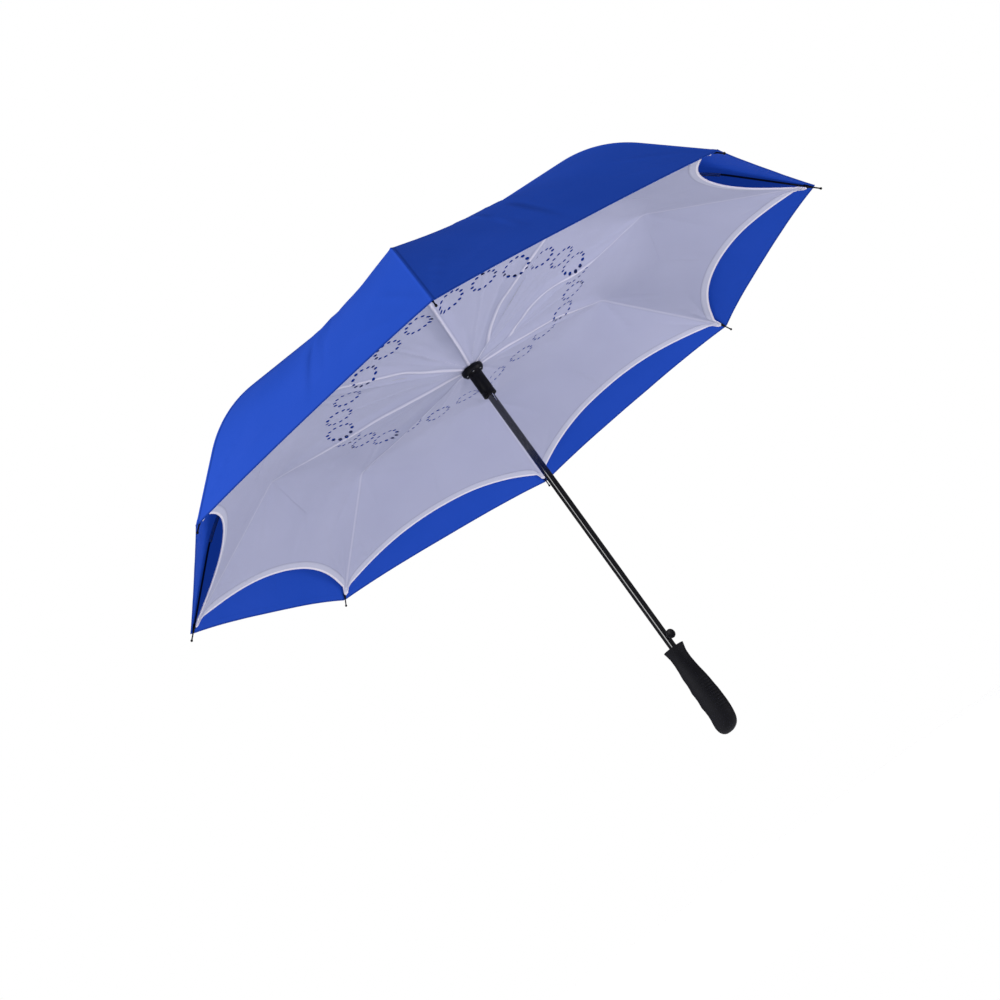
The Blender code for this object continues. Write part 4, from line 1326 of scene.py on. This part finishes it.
def rib_pin(name, spot, start, end, head):
    """Riveted pin through a spot, from one distance along Y to another, with two round heads."""
    pin = disc(name, head * 0.62, 18, spot + Vector((0, start, 0)), rotation=(-math.pi / 2, 0, 0))
    head_out = ((0.0003, 1.61), (0.0006, 1.0), (0.0, 0.62))
    head_in = ((0.0, 1.61), (0.0006, 1.0), (0.0003, 0.62))
    for offset, scale in (*head_out, (end - start - 0.0018, 1.0), *head_in):
        pull((0, offset, 0), scale, spot)
    return tidy(pin, 40, "bright_spring_steel")


def rib_arm(outer, ribs):
    """One outer rib in the plane of +X: channel, rod, tip, bracket and both pins."""
    rise, slope = outer_profile(outer, np.array([outer.elbow_radius]))
    elbow_rise = float(rise[0]) - ribs.elbow_drop / math.cos(float(slope[0]))
    elbow = Vector((outer.elbow_radius, 0, RIM_HEIGHT + elbow_rise))
    joint = Vector((bpy.context.scene.inner_canopy.joint_radius, 0, RIM_HEIGHT + ribs.joint_rise))
    pieces = [
        steel_channel(outer, ribs),
        *rod_and_tip(outer, ribs),
        joint_bracket(ribs, elbow, joint),
        rib_pin("elbow_pin", elbow, -0.0070, 0.0019, 0.0017),
        rib_pin("joint_pin", joint, -0.0021, 0.0021, 0.0016),
    ]
    return join(pieces, "rib_pattern")


class UMBRELLA_OT_ribs(bpy.types.Operator):
    """Model one outer rib and copy it round the shaft"""

    bl_idname = "umbrella.ribs"
    bl_label = "Ribs"

    def execute(self, context):
        pattern = rib_arm(context.scene.outer_canopy, context.scene.rib_sizes)
        for rib in range(RIB_COUNT):
            number = rib + 1
            made = copy_turned(pattern, f"bowed_rib_{number}", rib_angle(rib))
            stand_for(made, f"rib_{number}", f"outer_rib_{number}")
        bpy.data.objects.remove(pattern, do_unlink=True)
        return {"FINISHED"}


# Runner, cap, shaft, button and grip


class UMBRELLA_OT_runner(bpy.types.Operator):
    """Turn the runner and its flange, with strut slots, pips and notches"""

    bl_idname = "umbrella.runner"
    bl_label = "Runner"

    sides: IntProperty(name="Sides", description="Sides of the turned parts", default=64)
    pips: IntProperty(name="Pips", description="Small bosses under the flange", default=6)

    def execute(self, context):
        sizes = context.scene.handle_sizes
        pivot = RIM_HEIGHT + sizes.pivot_rise
        neck, foot, slotted_disc = sizes.neck_radius, -sizes.neck_length, 0.0163
        body = turned_piece(
            "runner_body",
            [
                (neck - 0.0007, foot),
                (neck - 0.0001, foot + 0.0004),
                (neck, foot + 0.0010),
                (neck, foot + 0.0062),
                (neck - 0.0004, foot + 0.0068),
                (neck - 0.0004, foot + 0.0086),
                (neck, foot + 0.0092),
                (neck, -0.0146),
                (neck + 0.0005, -0.0140),
                (neck + 0.0005, -0.0046),
                (neck + 0.0007, -0.0025),
                (slotted_disc - 0.0005, -0.0025),
                (slotted_disc, -0.0020),
                (slotted_disc, 0.0064),
                (slotted_disc - 0.0006, 0.0070),
            ],
            self.sides,
            "moulded_black_plastic",
            base=pivot,
        )
        cutters = [bore(sizes.shaft_radius + 0.0004, foot - 0.002, 0.009, 48, pivot)]
        strut_aside, half_slot, half_groove, half_notch = 0.0035, 0.0020, 0.0012, 0.0011
        for rib in range(RIB_COUNT):
            low = (0.0105, strut_aside - half_slot, pivot - 0.0040)
            high = (0.0190, strut_aside + half_slot, pivot + 0.0090)
            cutters.append(box_tool(low, high, rib_angle(rib)))
        low, high = (0, -half_groove, pivot + foot - 0.002), (0.0082, half_groove, pivot + 0.009)
        cutters.append(box_tool(low, high, sizes.angle))
        for side in (70, 130, 250, 310):
            low = (neck - 0.0012, -half_notch, pivot + foot - 0.001)
            high = (neck + 0.0020, half_notch, pivot + foot + 0.0034)
            cutters.append(box_tool(low, high, sizes.angle + math.radians(side)))
        cut(body, cutters)
        tidy(body, 35, "moulded_black_plastic")

        top = -sizes.flange_top
        wide, tall = sizes.flange_radius, sizes.flange_height
        flange = turned_piece(
            "runner_flange",
            [
                (neck + 0.0032, top - tall),
                (wide - 0.0036, top - tall),
                (wide - 0.0028, top - tall + 0.0002),
                (wide - 0.0004, top - tall + 0.0032),
                (wide, top - tall + 0.0040),
                (wide, top - 0.0016),
                (wide - 0.0004, top - 0.0006),
                (wide - 0.0014, top - 0.0002),
                (neck + 0.0018, top),
            ],
            self.sides,
            "moulded_black_plastic",
            base=pivot,
        )
        cut(flange, [bore(neck + 0.0008, top - tall - 0.002, top + 0.002, 48, pivot)])
        parts = [flange]
        for k in range(self.pips):
            angle = sizes.angle + 2 * math.pi * (k + 0.5) / self.pips
            spot = Vector((math.cos(angle), math.sin(angle), 0)) * (wide - 0.0042)
            spot.z = pivot + top - tall + 0.0004
            pip = disc("pip", 0.0013, 18, spot)
            pull((0, 0, -0.0009))
            pull((0, 0, -0.0004), 0.72, spot)
            parts.append(tidy(pip, 40, "plated_strip_steel"))
        stand_for(body, "runner", "runner")
        stand_for(join(parts, "runner_flange"), "runner", "runner_collar")
        return {"FINISHED"}


class UMBRELLA_OT_shaft(bpy.types.Operator):
    """Draw the lacquered shaft tube with its catch slot, and turn the crown cap"""

    bl_idname = "umbrella.shaft"
    bl_label = "Shaft and Cap"

    sides: IntProperty(name="Sides", description="Sides of the tube", default=56)

    def execute(self, context):
        sizes, outer = context.scene.handle_sizes, context.scene.outer_canopy
        low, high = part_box("shaft_tube")
        radius = sizes.shaft_radius
        tube = turned_piece(
            "lacquered_shaft",
            [
                (radius - 0.0004, low.z),
                (radius, low.z + 0.0004),
                (radius, (low.z + high.z) / 2),
                (radius, high.z - 0.0004),
                (radius - 0.0004, high.z),
            ],
            self.sides,
            "black_lacquered_tube",
        )
        inside = bore(radius - 0.0008, low.z - 0.01, high.z + 0.01, 40)
        latch_low, latch_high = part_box("latch_spring")
        slot_low, slot_high = (0, -0.0012, latch_low.z - 0.0005), (0.012, 0.0012, latch_high.z + 0.0005)
        slot = box_tool(slot_low, slot_high, sizes.angle)
        button = RIM_HEIGHT + sizes.grip_top + sizes.button_above_grip
        way = Vector((math.cos(sizes.angle), math.sin(sizes.angle), 0))
        hole = disc("hole", 0.0034, 24, (0, 0, button), rotation=(0, math.pi / 2, sizes.angle))
        pull(way * 0.012)
        tidy(hole)
        cut(tube, [inside, slot, hole])
        tidy(tube, 35, "black_lacquered_tube")
        stand_for(tube, "shaft", "shaft_tube")

        apex = RIM_HEIGHT + outer.apex_rise
        drop = math.tan(outer.crown_angle) * sizes.cap_radius
        wide, tall = sizes.cap_radius, sizes.cap_height
        cap = turned_piece(
            "turned_crown_cap",
            [
                (0.0062, 0.0008 - math.tan(outer.crown_angle) * 0.0062 + 0.0020),
                (wide - 0.0006, 0.0012 - drop),
                (wide, 0.0016 - drop),
                (wide, 0.0030 - drop),
                (wide - 0.0008, 0.0036 - drop),
                (wide - 0.0034, 0.0024),
                (wide - 0.0042, 0.0030),
                (0.0100, 0.0074),
                (0.0088, 0.0092),
                (0.0078, 0.0098),
                (0.0070, tall - 0.0008),
                (0.0062, tall - 0.0001),
                (0.0034, tall),
                (0.0030, tall - 0.0006),
                (0.0006, tall - 0.0008),
            ],
            48,
            "moulded_black_plastic",
            base=apex,
        )
        cut(cap, [bore(0.0058, -0.012, 0.0048, 40, apex)])
        tidy(cap, 35, "moulded_black_plastic")
        stand_for(cap, "shaft", "crown_cap")
        return {"FINISHED"}


class UMBRELLA_OT_button(bpy.types.Operator):
    """Turn the push button: a neck that flares to a rounded face"""

    bl_idname = "umbrella.button"
    bl_label = "Button"

    def execute(self, context):
        sizes = context.scene.handle_sizes
        height = RIM_HEIGHT + sizes.grip_top + sizes.button_above_grip
        face, reach = sizes.button_radius, sizes.button_reach
        way = Vector((math.cos(sizes.angle), math.sin(sizes.angle), 0))
        start, root, stalk = Vector((0, 0, height)), 0.0020, 0.0028
        made = disc("push_button", stalk, 40, way * root + start, rotation=(0, math.pi / 2, sizes.angle))
        stations = [
            (0.0080, 0.0029),
            (0.0096, 0.0031),
            (0.0122, 0.0042),
            (0.0146, 0.0056),
            (0.0154, face - 0.0001),
            (0.0162, face),
            (reach - 0.0005, face - 0.0003),
            (reach - 0.0001, face - 0.0009),
            (reach, face - 0.0014),
            (reach - 0.0004, face - 0.0020),
            (reach - 0.0004, 0.0008),
        ]
        pull_through(stations, root, stalk, start, way)
        tidy(made, 40, "moulded_black_plastic")
        stand_for(made, "button", "button")
        return {"FINISHED"}


# Grip outline: depth below its top as a share of its length, then the reach of the finger
# side, the reach of the back and half the width as shares of the grip's half width
GRIP_STATIONS = (
    (0.000, 0.96, 0.92, 0.94),
    (0.030, 0.91, 0.85, 0.88),
    (0.090, 0.83, 0.71, 0.78),
    (0.170, 0.82, 0.68, 0.77),
    (0.250, 0.89, 0.76, 0.81),
    (0.310, 0.99, 0.85, 0.85),
    (0.355, 0.96, 0.92, 0.88),
    (0.400, 0.92, 0.98, 0.91),
    (0.445, 0.98, 1.03, 0.94),
    (0.480, 1.06, 1.07, 0.96),
    (0.525, 0.99, 1.09, 0.97),
    (0.575, 0.95, 1.14, 0.99),
    (0.615, 1.01, 1.16, 1.00),
    (0.650, 1.08, 1.17, 1.01),
    (0.695, 0.97, 1.16, 1.01),
    (0.745, 0.92, 1.14, 1.01),
    (0.800, 0.98, 1.09, 1.01),
    (0.850, 1.15, 1.03, 0.99),
    (0.895, 1.27, 0.95, 0.95),
    (0.935, 1.28, 0.79, 0.86),
    (0.965, 1.20, 0.55, 0.72),
    (0.988, 1.00, 0.18, 0.48),
    (1.000, 0.76, -0.24, 0.22),
)


class UMBRELLA_OT_grip(bpy.types.Operator):
    """Mould the grip: finger grooves in front, a full ribbed back and a flared lip"""

    bl_idname = "umbrella.grip"
    bl_label = "Grip"

    sides: IntProperty(name="Sides", description="Sides of the grip before it is smoothed", default=32)
    grooves: IntProperty(name="Grooves", description="Shallow cross grooves on the back", default=11)
    groove_depth: length("Groove depth", "Depth of the cross grooves", 0.0005)

    def execute(self, context):
        sizes = context.scene.handle_sizes
        top = RIM_HEIGHT + sizes.grip_top
        unit = sizes.grip_half_width
        made = disc("moulded_grip", 1.0, self.sides, (0, 0, 0))
        wide, deep, centre, height = 1.0, 1.0, 0.0, 0.0
        shares = np.array(GRIP_STATIONS)
        whole, ribbed, lip = np.linspace(0.0, 0.90, 46), np.linspace(0.39, 0.77, 66), [0.004, 0.012]
        for depth in np.unique(np.concatenate([shares[:, 0], whole, ribbed, lip])):
            finger, back, half = (float(np.interp(depth, shares[:, 0], shares[:, k])) for k in (1, 2, 3))
            next_centre, next_deep = (back - finger) / 2 * unit, (back + finger) / 2 * unit
            next_wide, next_height = half * unit, -depth * sizes.grip_length
            move = (next_centre - centre, 0, next_height - height)
            grow = (next_deep / deep, next_wide / wide, 1.0)
            if depth == 0:
                bpy.ops.transform.translate(value=move)
                bpy.ops.transform.resize(value=grow, center_override=(next_centre, 0, next_height))
            else:
                pull(move, axis_scale=grow, centre=(next_centre, 0, next_height))
            centre, deep, wide, height = next_centre, next_deep, next_wide, next_height
        tidy(made)
        apply(made, "SUBSURF", levels=1, render_levels=1)
        self.groove_back(made, sizes)
        made.data.transform(Matrix.Translation((0, 0, top)) @ Matrix.Rotation(sizes.angle, 4, "Z"))
        cut(made, [bore(sizes.shaft_radius + 0.0003, -0.058, 0.004, 40, top)])
        tidy(made, 50, "matt_black_rubber")
        stand_for(made, "shaft", "grip")
        return {"FINISHED"}

    def groove_back(self, made, sizes):
        """Press the cross grooves into the back, as a row of shallow valleys."""
        start, end = -0.40 * sizes.grip_length, -0.76 * sizes.grip_length
        pitch = (end - start) / self.grooves
        for vertex in made.data.vertices:
            x, y, z = vertex.co
            if not end < z < start:
                continue
            back = math.atan2(abs(y), x)
            fade = max(0.0, min(1.0, (math.radians(30) - back) / math.radians(8)))
            wave = 0.5 - 0.5 * math.cos(2 * math.pi * (z - start) / pitch)
            depth = self.groove_depth * fade * wave**2
            out = Vector((x, y, 0)).normalized()
            vertex.co = vertex.co - out * depth


class UMBRELLA_OT_metalwork(bpy.types.Operator):
    """Give the struts, wires, washer, notch and springs their finishes"""

    bl_idname = "umbrella.metalwork"
    bl_label = "Metalwork"

    def execute(self, context):
        numbers = range(1, RIB_COUNT + 1)
        struts = [f"{side}_strut_{number}" for number in numbers for side in ("upper", "lower")]
        finishes = {
            "moulded_black_plastic": ("top_notch", "crown_washer"),
            "bright_spring_steel": ("top_notch_wire", "runner_wire", "drive_spring", "latch_spring"),
            "plated_strip_steel": struts,
        }
        for finish, nodes in finishes.items():
            for node in nodes:
                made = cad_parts[node]
                made.data.materials.clear()
                made.data.materials.append(finish_of(finish))
        return {"FINISHED"}


# Studio


def area_light(name, power, place, aim, size, height=None, tone=(1, 1, 1)):
    """A round soft light, or an upright strip where a height is given."""
    light = bpy.data.lights.new(name, "AREA")
    light.shape = "RECTANGLE" if height else "DISK"
    light.size = size
    if height:
        light.size_y = height
    light.energy = power
    light.color = tone
    made = bpy.data.objects.new(name, light)
    made.location = place
    made.rotation_mode = "QUATERNION"
    made.rotation_quaternion = (Vector(aim) - Vector(place)).to_track_quat("-Z", "Y")
    bpy.context.scene.collection.objects.link(made)


class UMBRELLA_OT_studio(bpy.types.Operator):
    """Lay the pale floor, set the soft lights and aim the camera"""

    bl_idname = "umbrella.studio"
    bl_label = "Studio"

    def execute(self, context):
        scene, sizes = context.scene, context.scene.studio_sizes
        floor = disc("studio_floor", sizes.floor_radius, sizes.floor_sides, (0, 0, -sizes.floor_drop))
        bpy.ops.mesh.inset(thickness=sizes.floor_radius * 0.5)
        bpy.ops.object.mode_set(mode="OBJECT")
        made = Finish("pale_studio_floor", Specular_IOR_Level=0.1)
        distance = made.place.node("ShaderNodeVectorMath", (made.place,), output="Value", operation="LENGTH")
        grain = made.noise(3.0, 3.0)
        fade = distance.below(sizes.floor_radius * 0.24, sizes.floor_radius * 0.12)
        made.tree.links.new(fade.value, made.shader.inputs["Alpha"])
        made.shader.inputs["Emission Color"].default_value = (1.0, 1.0, 1.0, 1.0)
        made.shader.inputs["Emission Strength"].default_value = sizes.floor_glow
        pale = tint((0.92, 0.92, 0.93), (0.94, 0.94, 0.95), grain)
        floor.data.materials.append(made.paint(pale, grain * 0.1 + 0.75))

        world = bpy.data.worlds.new("studio_white")
        world.use_nodes = True
        surroundings = Socket(world.node_tree, 0.0)
        backdrop = surroundings.node("ShaderNodeLightPath", output="Is Camera Ray")
        mirrored = surroundings.node("ShaderNodeLightPath", output="Is Glossy Ray") * sizes.glossy_dimming
        brightness = backdrop * (1.0 - sizes.world_light) + (1.0 - mirrored) * sizes.world_light
        background = world.node_tree.nodes["Background"]
        world.node_tree.links.new(brightness.value, background.inputs["Strength"])
        background.inputs["Color"].default_value = (1.0, 1.0, 1.0, 1.0)
        scene.world = world
        scene.view_settings.view_transform = "Standard"

        above_rim = RIM_HEIGHT + 0.05
        area_light("key_light", sizes.key_power, place=(-2.3, -0.7, 1.6), aim=(0, 0, above_rim), size=1.2)
        area_light(
            "fill_light", sizes.fill_power, place=(1.2, -0.3, -0.2), aim=(0.35, 0.15, above_rim), size=0.8,
            tone=(1.0, 0.96, 0.97),
        )
        area_light(
            "strip_light", sizes.strip_power, place=(-0.92, -1.89, 0.35), aim=(0, 0, 0.2), size=0.7,
            height=1.3,
        )

        lens = bpy.data.cameras.new("studio_camera")
        lens.lens, lens.sensor_width = sizes.lens, 36.0
        lens.clip_start, lens.clip_end = 0.05, 50.0
        camera = bpy.data.objects.new("studio_camera", lens)
        camera.location = sizes.camera_place
        camera.rotation_euler = sizes.camera_turn
        scene.collection.objects.link(camera)
        scene.camera = camera
        return {"FINISHED"}


STEPS = (
    "outer_canopy",
    "inner_canopy",
    "ribs",
    "runner",
    "shaft",
    "button",
    "grip",
    "metalwork",
    "studio",
)


class UMBRELLA_PT_builder(bpy.types.Panel):
    """Lists the steps that build the umbrella"""

    bl_label = "Inverted Umbrella"
    bl_space_type = "VIEW_3D"
    bl_region_type = "UI"
    bl_category = "Umbrella"

    def draw(self, context):
        for step in STEPS:
            self.layout.operator(f"umbrella.{step}")
        for group in SETTINGS:
            box = self.layout.box()
            settings = getattr(context.scene, group)
            for name in settings.__annotations__:
                box.prop(settings, name)


SETTINGS = {
    "outer_canopy": OuterCanopySizes,
    "inner_canopy": InnerCanopySizes,
    "cloth_sizes": ClothSizes,
    "rib_sizes": RibSizes,
    "handle_sizes": HandleSizes,
    "studio_sizes": StudioSizes,
}
CLASSES = (
    *SETTINGS.values(),
    UMBRELLA_OT_outer_canopy,
    UMBRELLA_OT_inner_canopy,
    UMBRELLA_OT_ribs,
    UMBRELLA_OT_runner,
    UMBRELLA_OT_shaft,
    UMBRELLA_OT_button,
    UMBRELLA_OT_grip,
    UMBRELLA_OT_metalwork,
    UMBRELLA_OT_studio,
    UMBRELLA_PT_builder,
)


def register():
    for made in CLASSES:
        bpy.utils.register_class(made)
    for name, group in SETTINGS.items():
        setattr(bpy.types.Scene, name, PointerProperty(type=group))


def unregister():
    for name in SETTINGS:
        delattr(bpy.types.Scene, name)
    for made in reversed(CLASSES):
        bpy.utils.unregister_class(made)


def main():
    register()
    for step in STEPS:
        getattr(bpy.ops.umbrella, step)()


if __name__ == "__main__":
    main()
